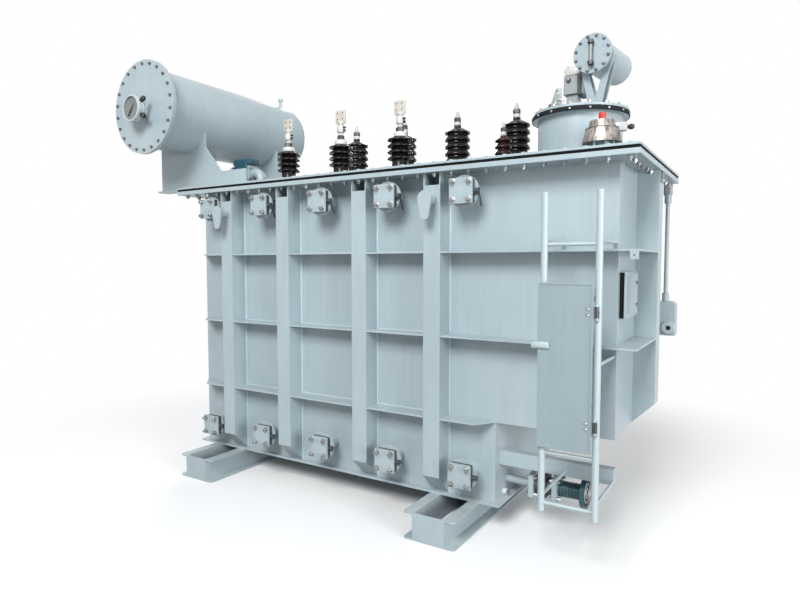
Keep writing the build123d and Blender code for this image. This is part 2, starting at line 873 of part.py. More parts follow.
# Pressure relief valve
relief_x = tank_length - relief_inset
relief_body_top = cover_top + relief_base + relief_body_height
relief = rod_z(relief_base_radius, cover_top, cover_top + relief_base, relief_x, relief_back)
relief += rod_z(relief_core_radius, cover_top, relief_body_top, relief_x, relief_back)
relief += rod_z(relief_body_radius, relief_body_top - relief_seat, relief_body_top, relief_x, relief_back)
for spot in PolarLocations(relief_post_circle, relief_post_count):
    post_x = relief_x + spot.position.X
    post_y = relief_back + spot.position.Y
    relief += rod_z(relief_post_radius, cover_top, relief_body_top, post_x, post_y)
hood_foot = cover_top + relief_hood_lift
hood_shoulder = hood_foot + relief_hood_height
hood_top = hood_shoulder + relief_cap_height
hood = turned_z([
    (relief_hood_radius, hood_foot),
    (relief_hood_shoulder_radius, hood_shoulder),
    (relief_crown_foot_radius, hood_shoulder),
    (relief_crown_top_radius, hood_top),
    (0, hood_top),
    (0, relief_body_top),
    (relief_body_radius, relief_body_top),
    (relief_hood_radius - relief_hood_wall, hood_foot),
], relief_x, relief_back)
keep("relief_valve_body", relief)
keep("relief_valve_hood", hood)
keep("relief_valve_button",
     rod_z(relief_button_radius, hood_top, hood_top + relief_button_height, relief_x, relief_back))

# Drive of the tap changer at the back right corner
drive_x = tank_length + drive_out
flange_edge = tank_width + flange_front
drive_y = flange_edge + bevel_gap + bevel_side / 2
bevel_top = cover_bottom - bevel_drop + bevel_height / 2
bevel_bottom = bevel_top - bevel_height
bevel = block(drive_x - bevel_side / 2, drive_x + bevel_side / 2, drive_y - bevel_side / 2,
              drive_y + bevel_side / 2, bevel_bottom, bevel_top)
bevel = chamfer(bevel.edges().filter_by(Axis.Z), gearbox_corner)
bevel += block(drive_x - bevel_side / 2, drive_x + bevel_side / 2, flange_edge, drive_y,
               flange_bottom, gasket_bottom)
keep("bevel_gearbox", bevel)
carrier_foot = rib_levels[1] + rib_plate
motor_drive_top = carrier_foot + motor_drive_rise
drive = rod_z(shaft_radius, motor_drive_top, bevel_bottom, drive_x, drive_y)
for z in (motor_drive_top, bevel_bottom - coupling_length):
    drive += rod_z(coupling_radius, z, z + coupling_length, drive_x, drive_y)
keep("drive_shaft", drive)
motor_face = tank_width + upright_depth
motor_right = tank_length + motor_drive_reach
motor_left = motor_right - motor_drive_width
motor_drive = block(motor_left, motor_right, motor_face, motor_face + motor_drive_depth,
                    motor_drive_top - motor_drive_height, motor_drive_top)
shoulder = motor_drive.edges().filter_by(Axis.Y).group_by(Axis.Z)[-1].sort_by(Axis.X)[-1]
motor_drive = fillet(shoulder, motor_drive_corner)
for x in (motor_left, tank_length - motor_carrier_plate):
    motor_drive += block(x, x + motor_carrier_plate, tank_width, motor_face, carrier_foot, motor_drive_top)
keep("motor_drive", motor_drive)

# Bracket beam from the lower end wall, which carries the ladder's foot
bracket_end = lower_length + bracket_length
bracket_back = bracket_front + bracket_depth
bracket = block(lower_length, bracket_end, bracket_front, bracket_back,
                bracket_bottom, bracket_bottom + bracket_height)
bracket -= block(lower_length - cut_overrun, bracket_end - bracket_plate, bracket_front + bracket_plate,
                 bracket_back + cut_overrun, bracket_bottom + bracket_plate,
                 bracket_bottom + bracket_height - bracket_plate)
keep("ladder_bracket", bracket)

# Ladder: two stiles, rungs between them and standoffs to the tank
ladder_middle = tank_length - ladder_inset
stile_y = -ladder_stand_off
stile_left = ladder_middle - ladder_width / 2
stile_right = ladder_middle + ladder_width / 2
ladder_top = ladder_foot + ladder_height
left_stile = rod_z(stile_radius, ladder_foot, ladder_top, stile_left, stile_y)
right_stile = rod_z(stile_radius, ladder_foot, ladder_top, stile_right, stile_y)
rung_count = int((ladder_height - rung_first) // rung_pitch) + 1
stile_seat = stile_radius + seat_clearance
for step in range(rung_count):
    z = ladder_foot + rung_first + step * rung_pitch
    rung = rod_x(rung_radius, stile_left, stile_right, stile_y, z)
    for x in (stile_left, stile_right):
        rung -= rod_z(stile_seat, z - stile_radius, z + stile_radius, x, stile_y)
    keep("ladder_rungs", rung)
for x in (stile_left, stile_right):
    for z, seat_y in ((standoff_upper, 0), (standoff_middle, 0), (standoff_lower, bracket_front)):
        standoff = rod_y(standoff_radius, stile_y, seat_y, x, z)
        standoff -= rod_z(stile_seat, z - stile_radius, z + stile_radius, x, stile_y)
        keep("ladder_standoffs", standoff)

# Guard door over the lower rungs, hinged on the right stile
guard_back = stile_y - stile_radius - guard_clear
guard_face = guard_back - guard_plate
hinge_x = stile_right
hinge_y = guard_back - guard_plate / 2
guard_right = hinge_x - hinge_knuckle_radius - hinge_edge_gap
guard_left = stile_left - stile_radius
guard_top = guard_bottom + guard_height
guard = block(guard_left, guard_right, guard_face, guard_back, guard_bottom, guard_top)
hinge_pins = []
for share in hinge_rise_shares:
    z0 = guard_bottom + share * guard_height
    z1 = z0 + hinge_knuckle_length
    knuckle = rod_z(hinge_knuckle_radius, z0, z1, hinge_x, hinge_y)
    knuckle += block(guard_right, hinge_x, guard_face, guard_back, z0, z1)
    guard += knuckle - rod_z(hinge_pin_radius + hinge_pin_clearance, z0 - cut_overrun, z1 + cut_overrun,
                             hinge_x, hinge_y)
    pin_foot = z0 - hinge_end_clearance - hinge_lug_height
    pin_head = z1 + hinge_end_clearance + hinge_lug_height
    right_stile += rod_z(hinge_pin_radius, pin_foot, pin_head, hinge_x, hinge_y)
    for z in (pin_foot, pin_head - hinge_lug_height):
        right_stile += block(hinge_x - hinge_pin_radius, hinge_x + hinge_pin_radius,
                             hinge_y, stile_y, z, z + hinge_lug_height)
hasp_z = guard_bottom + hasp_rise_share * guard_height
guard += block(guard_left - hasp_width / 2, guard_left + hasp_width / 2, guard_face - hasp_plate, guard_face,
               hasp_z, hasp_z + hasp_height)
keep("ladder_stiles", left_stile, right_stile)
keep("ladder_guard", guard)

# Oil pump line under the bay
pump_y = pump_back
pump_z = pump_axis_height
flange_start = lower_length + pump_pipe_length
valve_start = flange_start + pump_flange
valve_end = valve_start + pump_valve_length
motor_start = valve_end + pump_flange
motor_end = motor_start + pump_motor_length
fan_end = motor_end + pump_fan_length
pump_line = rod_x(pump_pipe_radius, lower_length, flange_start, pump_y, pump_z)
pump_line += square_x(pump_flange_side, valve_plate_corner, flange_start, valve_start, pump_y, pump_z)
pump_flange_plate = square_x(pump_flange_side, valve_plate_corner, valve_end, motor_start, pump_y, pump_z)
keep("pump_pipe", pump_line, pump_flange_plate)
pump_valve = rod_x(pump_valve_radius, valve_start, valve_end, pump_y, pump_z)
plate_start = (valve_start + valve_end - pump_valve_plate) / 2
pump_valve += square_x(pump_valve_side, valve_plate_corner, plate_start, plate_start + pump_valve_plate,
                       pump_y, pump_z)
keep("pump_valve", pump_valve)
motor = rod_x(pump_motor_radius, motor_start, motor_end, pump_y, pump_z)
groove = pump_motor_length / (2 * pump_fin_count + 1)
for step in range(pump_fin_count):
    x = motor_start + (2 * step + 1) * groove
    ring = rod_x(pump_motor_radius + cut_overrun, x, x + groove, pump_y, pump_z)
    motor -= ring - rod_x(pump_motor_radius - pump_fin_depth, x, x + groove, pump_y, pump_z)
keep("pump_motor", motor)
fan = rod_x(pump_fan_radius, motor_end, fan_end, pump_y, pump_z)
fan -= rod_x(pump_fan_radius - pump_fan_wall, motor_end + pump_fan_wall, fan_end + cut_overrun,
             pump_y, pump_z)
keep("pump_fan_cover", fan)

# Plain box for instruments on the right end wall
box_room = rib_pitch - rib_plate
box_bottom = rib_levels[1] + rib_plate + box_rise_share * box_room
box_height = box_height_share * box_room
instrument_box = block(tank_length, tank_length + box_depth, box_front, box_front + box_width,
                       box_bottom, box_bottom + box_height)
keep("instrument_box", fillet(instrument_box.edges().filter_by(Axis.X), box_corner))

# The origin goes to the middle of the footprint, on the ground
pieces = {name: Compound(label=name, children=list(solids)) for name, solids in nodes.items()}
whole = Compound(children=[Compound(list(piece.solids())) for piece in pieces.values()]).bounding_box()
shift = Pos(-whole.center().X, -whole.center().Y, -whole.min.Z)
os.makedirs("parts", exist_ok=True)
for name, piece in pieces.items():
    export_step(shift * piece, f"parts/{name}.step")
print("moved by", -whole.center().X, -whole.center().Y, -whole.min.Z, "size", whole.size)
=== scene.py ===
"""Oil-filled power transformer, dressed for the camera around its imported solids."""
import math

import bpy
from mathutils import Matrix, Vector


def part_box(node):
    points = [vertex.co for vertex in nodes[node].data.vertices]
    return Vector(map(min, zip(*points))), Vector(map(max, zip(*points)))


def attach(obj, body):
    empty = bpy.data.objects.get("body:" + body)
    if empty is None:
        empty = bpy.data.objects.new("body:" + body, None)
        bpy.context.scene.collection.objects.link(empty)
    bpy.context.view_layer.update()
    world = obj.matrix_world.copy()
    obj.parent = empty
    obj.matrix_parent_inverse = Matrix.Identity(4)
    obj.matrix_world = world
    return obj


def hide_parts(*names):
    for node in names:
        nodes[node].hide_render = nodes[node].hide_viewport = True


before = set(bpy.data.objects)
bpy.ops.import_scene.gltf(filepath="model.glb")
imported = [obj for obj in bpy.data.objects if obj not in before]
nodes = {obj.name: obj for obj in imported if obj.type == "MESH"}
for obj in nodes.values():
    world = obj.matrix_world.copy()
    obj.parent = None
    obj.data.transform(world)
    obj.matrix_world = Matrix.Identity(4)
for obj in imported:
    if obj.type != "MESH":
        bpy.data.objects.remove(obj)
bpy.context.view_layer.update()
bpy.context.scene.view_settings.view_transform = "Standard"


# Base beams: two pairs of rolled steel channels under the tank, closed by end plates, welded to its floor.
# They carry the same light grey-green enamel as the tank, sprayed on after welding,
# with a little yard dirt near the ground.
class Tone:
    """One socket of a material; sums and products of tones add Math nodes to its tree."""

    def __init__(self, tree, socket=None):
        self.tree = tree
        self.socket = socket

    def node(self, kind, settings=None, inputs=None, out=0):
        """Adds a node: its settings first, then the values or links of its sockets."""
        made = self.tree.nodes.new(kind)
        for key, value in (settings or {}).items():
            setattr(made, key, value)
        for key, value in (inputs or {}).items():
            if isinstance(value, Tone):
                self.tree.links.new(value.socket, made.inputs[key])
            else:
                made.inputs[key].default_value = value
        return Tone(self.tree, made.outputs[out])

    def reckon(self, operation, first, second):
        return self.node("ShaderNodeMath", {"operation": operation}, {0: first, 1: second})

    def __add__(self, other):
        return self.reckon("ADD", self, other)

    def __radd__(self, other):
        return self.reckon("ADD", other, self)

    def __sub__(self, other):
        return self.reckon("SUBTRACT", self, other)

    def __rsub__(self, other):
        return self.reckon("SUBTRACT", other, self)

    def __mul__(self, other):
        return self.reckon("MULTIPLY", self, other)

    def __rmul__(self, other):
        return self.reckon("MULTIPLY", other, self)


def new_finish(name, **constants):
    """A new material: its tree as a Tone, and its shader with the sockets that stay the same all over."""
    material = bpy.data.materials.new(name)
    material.use_nodes = True
    shader = material.node_tree.nodes["Principled BSDF"]
    for key, value in constants.items():
        shader.inputs[key.replace("_", " ").title().replace("Ior", "IOR")].default_value = value
    return material, Tone(material.node_tree), shader


def feed(tree, shader, **tones):
    """Links tones to the shader's sockets."""
    for key, tone in tones.items():
        tree.tree.links.new(tone.socket, shader.inputs[key.replace("_", " ").title()])


def on_piece(tree):
    """Places on the piece itself, in metres."""
    return tree.node("ShaderNodeTexCoord", out=3)


def mottle(tree, place, scale, detail=3.0, roughness=0.55):
    """A cloudy value over the piece, scale in turns a metre."""
    return tree.node("ShaderNodeTexNoise", None,
                     {"Vector": place, "Scale": scale, "Detail": detail, "Roughness": roughness})


def blend(tree, factor, first, second):
    """A colour between two, by a factor."""
    return tree.node("ShaderNodeMix", {"data_type": "RGBA"}, {0: factor, 6: first, 7: second}, out=2)


def ease(tree, value, low, high):
    """0 below low and 1 above high, smooth between."""
    return tree.node("ShaderNodeMapRange", {"interpolation_type": "SMOOTHSTEP"},
                     {"Value": value, "From Min": low, "From Max": high})


def height_of(tree, vector):
    """The upright part of a vector."""
    return tree.node("ShaderNodeSeparateXYZ", None, {0: vector}, out=2)


def shade(colour, factor):
    """A colour made deeper or paler, with its alpha."""
    return (*(min(1.0, factor * part) for part in colour), 1)


def bumps(tree, strength, depth, height, **under):
    """Small bumps from a value, over another normal where one is given."""
    return tree.node("ShaderNodeBump", None,
                     {"Strength": strength, "Distance": depth, "Height": height, **under})


def enamel(name, colour, roughness=0.36, edge=0.003, dust=0.3):
    """Sprayed enamel on steel: orange peel, paler edges that are partly wear and partly a painted highlight,
    dust on top and dirt near the ground.
    """
    dust_colour = (0.62, 0.61, 0.57, 1)
    soil_colour = (0.30, 0.28, 0.25, 1)
    material, tree, shader = new_finish(name, metallic=0.0, coat_weight=0.08, coat_roughness=0.2)
    place = on_piece(tree)
    facing = tree.node("ShaderNodeNewGeometry", out=1)
    rounded = tree.node("ShaderNodeBevel", {"samples": 4}, {"Radius": edge})
    flatness = tree.node("ShaderNodeVectorMath", {"operation": "DOT_PRODUCT"},
                         {0: facing, 1: rounded}, out=1)
    # Paler edges: partly paint rubbed thin on the edges, and partly a painted highlight where the edges
    # catch the light.
    edge_wear_and_highlight = ease(tree, 1 - flatness, 0.02, 0.25)
    broad = mottle(tree, place, 1.6, 4.0, 0.6)
    peel = mottle(tree, place, 38.0, 2.0)
    drawn_down = tree.node("ShaderNodeMapping", None, {"Vector": place, "Scale": (9.0, 9.0, 0.7)})
    runs_of_rain = mottle(tree, drawn_down, 3.0, 4.0, 0.6)
    upward = ease(tree, height_of(tree, facing), 0.5, 0.95)
    dusty = upward * ease(tree, mottle(tree, place, 5.0, 5.0), 0.35, 0.75) * dust
    low_down = 1 - ease(tree, height_of(tree, place), 0.02, 0.45)
    soiled = low_down * ease(tree, mottle(tree, place, 7.0, 5.0), 0.42, 0.8)
    cloudy = ease(tree, broad * 0.6 + runs_of_rain * 0.4, 0.3, 0.7)
    tint = blend(tree, cloudy, shade(colour, 0.88), shade(colour, 1.0))
    tint = blend(tree, edge_wear_and_highlight * 0.6, tint, shade(colour, 1.16))
    tint = blend(tree, dusty, tint, dust_colour)
    tint = blend(tree, soiled * 0.2, tint, soil_colour)
    sheen = roughness + (broad - 0.5) * 0.12 + dusty * 0.4 + soiled * 0.3
    skin = bumps(tree, 0.05, 0.004, peel, Normal=rounded)
    feed(tree, shader, base_color=tint, roughness=sheen, normal=skin)
    return material


def dress(material, *names):
    """Gives solids of the frame a material."""
    for name in names:
        nodes[name].data.materials.clear()
        nodes[name].data.materials.append(material)


tank_enamel = enamel("tank_enamel", (0.352, 0.432, 0.466))
dress(tank_enamel, "base_beam_left", "base_beam_right")


# Tank shell: flat steel plates welded into a box, with a bay that overhangs at the tap-changer end.
# Box uprights and flat ribs stiffen it. Each upright and rib is fixed by a fillet weld,
# and the painted beads stand in the corners between them and the wall, in an enamel paler than the tank's as
# a painted highlight.
dress(tank_enamel, "tank_floor", "front_wall", "back_wall", "left_end_wall", "lower_end_wall", "bay_floor",
      "right_end_wall", "front_uprights", "back_uprights", "end_uprights", "front_ribs", "back_ribs")


def clear_bench():
    """Leaves edit mode, with nothing selected."""
    if bpy.context.object and bpy.context.object.mode != "OBJECT":
        bpy.ops.object.mode_set(mode="OBJECT")
    bpy.ops.object.select_all(action="DESELECT")


def settle(piece, name, material, body="transformer", crease=35):
    """Names a modelled piece, puts its place in its mesh, paints it and fixes it to a body."""
    clear_bench()
    piece.select_set(True)
    bpy.context.view_layer.objects.active = piece
    bpy.ops.object.transform_apply(location=True, rotation=True, scale=True)
    bpy.ops.object.shade_smooth_by_angle(angle=math.radians(crease))
    piece.name = name
    piece.data.name = name
    piece.data.materials.clear()
    piece.data.materials.append(material)
    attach(piece, body)
    return piece


def pick_faces(piece, wanted):
    """Opens a piece in edit mode with only the faces selected whose middle and facing are wanted."""
    bpy.ops.object.mode_set(mode="EDIT")
    bpy.ops.mesh.select_mode(type="FACE")
    bpy.ops.mesh.select_all(action="DESELECT")
    bpy.ops.object.mode_set(mode="OBJECT")
    for face in piece.data.polygons:
        face.select = wanted(face.center, face.normal)
    bpy.ops.object.mode_set(mode="EDIT")


def joined(pieces):
    """One piece out of several."""
    clear_bench()
    for piece in pieces:
        piece.select_set(True)
    bpy.context.view_layer.objects.active = pieces[0]
    bpy.ops.object.join()
    return bpy.context.object


def runs(values, gap):
    """Splits places along one axis into separate runs, wherever a gap parts them."""
    found = []
    for value in sorted(values):
        if not found or value - found[-1][1] > gap:
            found.append([value, value])
        found[-1][1] = value
    return found


def spans(name, axis, gap):
    """The separate stretches that a node's solids take up along one axis."""
    return runs([corner.co[axis] for corner in nodes[name].data.vertices], gap)


def weld_bead(start, end, leg):
    """A fillet bead between two points: a round bar, rippled as the welder's hand moved on."""
    start = Vector(start)
    end = Vector(end)
    clear_bench()
    bpy.ops.mesh.primitive_circle_add(vertices=6, radius=leg, fill_type="NGON")
    bead = bpy.context.object
    ripple = 1.22
    ripple_pitch = 0.05
    length = (end - start).length
    steps = max(6, min(40, round(length / ripple_pitch)))
    stride = length / steps
    bpy.ops.object.mode_set(mode="EDIT")
    bpy.ops.mesh.select_all(action="SELECT")
    for step in range(steps):
        bpy.ops.mesh.extrude_region_move(TRANSFORM_OT_translate={"value": (0, 0, stride)})
        swell = ripple if step % 2 == 0 else 1 / ripple
        bpy.ops.transform.resize(value=(swell, swell, 1))
    bpy.ops.mesh.select_all(action="SELECT")
    bpy.ops.mesh.normals_make_consistent(inside=False)
    bpy.ops.object.mode_set(mode="OBJECT")
    turn = (end - start).to_track_quat("Z", "Y").to_matrix().to_4x4()
    bead.matrix_world = Matrix.Translation(start) @ turn
    return bead


bead_leg = 0.007
# The beads' enamel is paler than the tank's: a painted highlight for the light the beads catch in the
# corners.
bead_highlight_enamel = enamel("bead_highlight_enamel", (0.42, 0.51, 0.54), 0.3)
wall_low, wall_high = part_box("front_wall")
back_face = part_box("back_wall")[1].y
upright_spans = spans("front_uprights", 0, 0.2)
bays = [(near[1], far[0]) for near, far in zip(upright_spans, upright_spans[1:])]
beads = []
for span in upright_spans:
    for x in span:
        for y in (wall_low.y, back_face):
            beads.append(weld_bead((x, y, wall_low.z), (x, y, wall_high.z), bead_leg))
for low, high in spans("front_ribs", 2, 0.2):
    for left, right in bays:
        for y in (wall_low.y, back_face):
            beads.append(weld_bead((left, y, high), (right, y, high), bead_leg))
settle(joined(beads), "weld_beads", bead_highlight_enamel, crease=60)


# Tank flange, gasket and cover: a thick plate round the rim, a black rubber gasket and the cover plate,
# drawn together by hexagon bolts at a close pitch, with painted heads above and zinc-plated nuts below.
dress(tank_enamel, "tank_flange", "cover")


def rubber(name, colour):
    """Matt black rubber with a fine grain."""
    material, tree, shader = new_finish(name, metallic=0.0, specular_ior_level=0.1)
    place = on_piece(tree)
    grain = mottle(tree, place, 220.0, 2.0)
    chalky = mottle(tree, place, 14.0, 4.0)
    tint = blend(tree, chalky * 0.4, shade(colour, 1.0), shade(colour, 2.0))
    feed(tree, shader, base_color=tint, roughness=0.6 + grain * 0.3, normal=bumps(tree, 0.3, 0.001, grain))
    return material


def plated(name, colour, roughness=0.32):
    """Plated or tinned metal: bright, with fine scratches and dull patches."""
    material, tree, shader = new_finish(name, metallic=1.0)
    place = on_piece(tree)
    dull = mottle(tree, place, 30.0, 4.0)
    scratch = mottle(tree, place, 260.0, 2.0)
    tint = blend(tree, ease(tree, dull, 0.35, 0.7), shade(colour, 1.0), shade(colour, 0.7))
    sheen = roughness + (dull - 0.5) * 0.3 + (scratch - 0.5) * 0.15
    feed(tree, shader, base_color=tint, roughness=sheen, normal=bumps(tree, 0.08, 0.001, scratch))
    return material


def hex_form(across, height, washer, end=0.0):
    """A hexagon head on its washer, seated at the origin and facing up; a nut has a thread end too."""
    washer_height = 0.16 * height
    clear_bench()
    bpy.ops.mesh.primitive_cylinder_add(vertices=6, radius=across / math.sqrt(3), depth=height,
                                        location=(0, 0, washer_height + height / 2))
    form = bpy.context.object
    bpy.ops.object.transform_apply(location=True)
    pick_faces(form, lambda middle, facing: facing.z > 0.9)
    bpy.ops.mesh.inset(thickness=0.09 * across)
    bpy.ops.transform.translate(value=(0, 0, 0.1 * height))
    if end:
        bpy.ops.mesh.inset(thickness=0.16 * across)
        bpy.ops.mesh.extrude_region_move(TRANSFORM_OT_translate={"value": (0, 0, end)})
        bpy.ops.transform.resize(value=(0.85, 0.85, 1))
    bpy.ops.mesh.primitive_cylinder_add(vertices=12, radius=washer / 2, depth=washer_height,
                                        location=(0, 0, washer_height / 2))
    bpy.ops.object.mode_set(mode="OBJECT")
    return form


def set_out(form, name, places, material, body="transformer", crease=35):
    """Copies one form to many places, each a point and the way it faces, and makes them one piece."""
    copies = []
    for count, (point, facing) in enumerate(places):
        copy = form.copy()
        copy.data = form.data.copy()
        bpy.context.collection.objects.link(copy)
        spin = Matrix.Rotation(math.radians(37 * count), 4, "Z")
        turn = Vector(facing).to_track_quat("Z", "Y").to_matrix().to_4x4()
        copy.matrix_world = Matrix.Translation(Vector(point)) @ turn @ spin
        copies.append(copy)
    bpy.data.objects.remove(form)
    return settle(joined(copies), name, material, body, crease)


dress(rubber("gasket_black", (0.005, 0.005, 0.006)), "cover_gasket")
zinc = plated("zinc_plate", (0.44, 0.45, 0.45), 0.38)
weathered_zinc = plated("weathered_zinc", (0.36, 0.37, 0.37), 0.48)
bolt_across = 0.028
head_height = 0.012
nut_height = 0.015
bolt_washer = 0.040
bolt_pitch = 0.122
bolt_inset = 0.062
web_clear = 0.034
rim_low, rim_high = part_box("tank_flange")
cover_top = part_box("cover")[1].z
webs = [x for span in upright_spans for x in span]


def clear_of_webs(x):
    """The nearest place along the long side where a nut clears the uprights' webs."""
    for web in webs:
        if abs(x - web) < web_clear:
            return web + math.copysign(web_clear, x - web)
    return x


rim_bolts = []
long_run = rim_high.x - rim_low.x - 2 * bolt_inset
long_count = round(long_run / bolt_pitch)
for count in range(long_count + 1):
    x = clear_of_webs(rim_low.x + bolt_inset + count * long_run / long_count)
    rim_bolts += [(x, rim_low.y + bolt_inset), (x, rim_high.y - bolt_inset)]
short_run = rim_high.y - rim_low.y - 2 * bolt_inset
short_count = round(short_run / bolt_pitch)
for count in range(1, short_count):
    y = rim_low.y + bolt_inset + count * short_run / short_count
    rim_bolts += [(rim_low.x + bolt_inset, y), (rim_high.x - bolt_inset, y)]
saddle_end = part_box("conservator_saddles")[1].x
saddle_rows = spans("conservator_saddles", 1, 0.2)


def under_saddle(x, y):
    """Whether a bolt head would stand under a saddle's foot."""
    beside = any(low - bolt_washer < y < high + bolt_washer for low, high in saddle_rows)
    return x < saddle_end + bolt_washer and beside


set_out(hex_form(bolt_across, head_height, bolt_washer), "cover_bolt_heads",
        [((x, y, cover_top), (0, 0, 1)) for x, y in rim_bolts if not under_saddle(x, y)], tank_enamel)
set_out(hex_form(bolt_across, nut_height, bolt_washer, end=0.008), "cover_bolt_nuts",
        [((x, y, rim_low.z), (0, 0, -1)) for x, y in rim_bolts], weathered_zinc)


# Radiator valves: pipe stubs with round flanges, square cast butterfly valves with levers, and blank plates
# that close them until the radiators are hung. Each plate is held by four plated bolts at its corners.
dress(tank_enamel, "radiator_stubs", "blank_plates")


def cast_metal(name, colour, roughness=0.5):
    """Painted sand casting: coarse skin and broad darker patches."""
    material, tree, shader = new_finish(name, metallic=0.0)
    place = on_piece(tree)
    skin = mottle(tree, place, 90.0, 4.0)
    broad = mottle(tree, place, 6.0, 3.0)
    rounded = tree.node("ShaderNodeBevel", {"samples": 4}, {"Radius": 0.003})
    tint = blend(tree, ease(tree, broad, 0.3, 0.7), shade(colour, 0.75), shade(colour, 1.0))
    feed(tree, shader, base_color=tint, roughness=roughness + (skin - 0.5) * 0.2,
         normal=bumps(tree, 0.25, 0.003, skin, Normal=rounded))
    return material


def turned(outline, steps=40):
    """A form turned about the upright axis from its outline in radius and height."""
    clear_bench()
    bpy.ops.mesh.primitive_plane_add(size=0.01)
    form = bpy.context.object
    bpy.ops.object.mode_set(mode="EDIT")
    bpy.ops.mesh.select_mode(type="VERT")
    bpy.ops.mesh.select_all(action="SELECT")
    bpy.ops.mesh.merge(type="CENTER")
    bpy.ops.transform.translate(value=(outline[0][0], 0, outline[0][1]))
    for (radius, height), (next_radius, next_height) in zip(outline, outline[1:]):
        bpy.ops.mesh.extrude_region_move(
            TRANSFORM_OT_translate={"value": (next_radius - radius, 0, next_height - height)})
    bpy.ops.mesh.select_all(action="SELECT")
    bpy.ops.mesh.spin(steps=steps, angle=2 * math.pi, center=(0, 0, 0), axis=(0, 0, 1))
    bpy.ops.mesh.select_all(action="SELECT")
    bpy.ops.mesh.remove_doubles(threshold=0.00001)
    bpy.ops.mesh.normals_make_consistent(inside=False)
    bpy.ops.object.mode_set(mode="OBJECT")
    return form


valve_casting = cast_metal("valve_casting", (0.045, 0.055, 0.06))
dress(valve_casting, "radiator_valves")
plate_low, plate_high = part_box("blank_plates")
plate_bolt_edge = 0.023
plate_bolts = []
for left, right in spans("blank_plates", 0, 0.2):
    for low, high in spans("blank_plates", 2, 0.2):
        for x in (left + plate_bolt_edge, right - plate_bolt_edge):
            for z in (low + plate_bolt_edge, high - plate_bolt_edge):
                plate_bolts += [((x, plate_low.y, z), (0, -1, 0)), ((x, plate_high.y, z), (0, 1, 0))]
plate_washer = turned([(0.012, 0.0), (0.021, 0.0), (0.021, 0.004), (0.019, 0.005), (0.012, 0.005),
                       (0.012, 0.0)], 16)
set_out(plate_washer, "blank_plate_washers", plate_bolts, zinc)
set_out(hex_form(0.027, 0.020, 0.030, end=0.012), "blank_plate_bolts", plate_bolts, weathered_zinc)


# Lifting trunnions: round stubs on the outer uprights for the slings, each with a teardrop keeper plate.
# They are cut from plate and bar, welded on and painted with the tank.
dress(tank_enamel, "lifting_trunnions")


# Main conservator: a rolled shell with a bolted disc in front and a pressed end behind, on two saddles.
# It carries the oil's swell. The front disc is drawn to the shell's flange by a ring of small bolts.
dress(tank_enamel, "conservator_shell", "conservator_end_disc", "conservator_dished_end",
      "conservator_saddles", "vent_plug", "relay_pipes")


def ring_of(centre, radius, count, axis, start=0.0):
    """Places round a circle about a middle, on the plane that faces along an axis."""
    flat = Vector(axis).to_track_quat("Z", "Y").to_matrix()
    places = []
    for step in range(count):
        turn = math.radians(start) + 2 * math.pi * step / count
        spoke = flat @ Vector((math.cos(turn), math.sin(turn), 0))
        places.append((Vector(centre) + radius * spoke, axis))
    return places


disc_low, disc_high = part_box("conservator_end_disc")
disc_middle = (disc_low + disc_high) / 2
disc_radius = (disc_high.x - disc_low.x) / 2
disc_face = Vector((disc_middle.x, disc_low.y, disc_middle.z))
disc_bolt_ring = disc_radius - 0.031
disc_bolt_count = 22
dull_zinc = plated("dull_zinc", (0.20, 0.21, 0.22), 0.5)
set_out(hex_form(0.020, 0.011, 0.025), "conservator_disc_bolts",
        ring_of(disc_face, disc_bolt_ring, disc_bolt_count, (0, -1, 0), 8), dull_zinc)
ring_back = Vector((disc_middle.x, disc_high.y + 0.016, disc_middle.z))
set_out(hex_form(0.020, 0.011, 0.025, end=0.008), "conservator_disc_nuts",
        ring_of(ring_back, disc_bolt_ring, disc_bolt_count, (0, 1, 0), 172), dull_zinc)


# Oil level gauge: an alloy casing on a flanged neck in the middle of the disc.
# It has a painted rim, a grey dial with plain marks and a dark pointer, and two cable glands at its side.
def gloss(name, colour, roughness=0.3):
    """Smooth moulded or stoved finish with faint unevenness."""
    material, tree, shader = new_finish(name, metallic=0.0)
    place = on_piece(tree)
    uneven = mottle(tree, place, 24.0, 3.0)
    speck = mottle(tree, place, 180.0, 2.0)
    tint = blend(tree, uneven, shade(colour, 0.9), shade(colour, 1.05))
    feed(tree, shader, base_color=tint, roughness=roughness + (uneven - 0.5) * 0.15,
         normal=bumps(tree, 0.05, 0.001, speck))
    return material


def block(size, middle, turn=0.0):
    """A block of a size about a middle, turned about the upright."""
    clear_bench()
    bpy.ops.mesh.primitive_cube_add(size=1, location=middle)
    made = bpy.context.object
    made.dimensions = size
    made.rotation_euler = (0, 0, turn)
    bpy.ops.object.transform_apply(location=False, rotation=True, scale=True)
    return made


def soften(piece, width):
    """Rounds the edges of a piece a little."""
    rounding = piece.modifiers.new("rounding", "BEVEL")
    rounding.width = width
    rounding.segments = 2
    bpy.context.view_layer.objects.active = piece
    bpy.ops.object.modifier_apply(modifier="rounding")


def panel(piece, toward, margin, step=0.0, soft=0.0):
    """Sets a panel in the side that faces one way, raised by a step or sunk where it is less than 0."""
    toward = Vector(toward)
    pick_faces(piece, lambda middle, facing: facing.dot(toward) > 0.9)
    bpy.ops.mesh.inset(thickness=margin)
    if step:
        bpy.ops.mesh.extrude_region_move(TRANSFORM_OT_translate={"value": tuple(step * toward)})
    bpy.ops.object.mode_set(mode="OBJECT")
    if soft:
        soften(piece, soft)


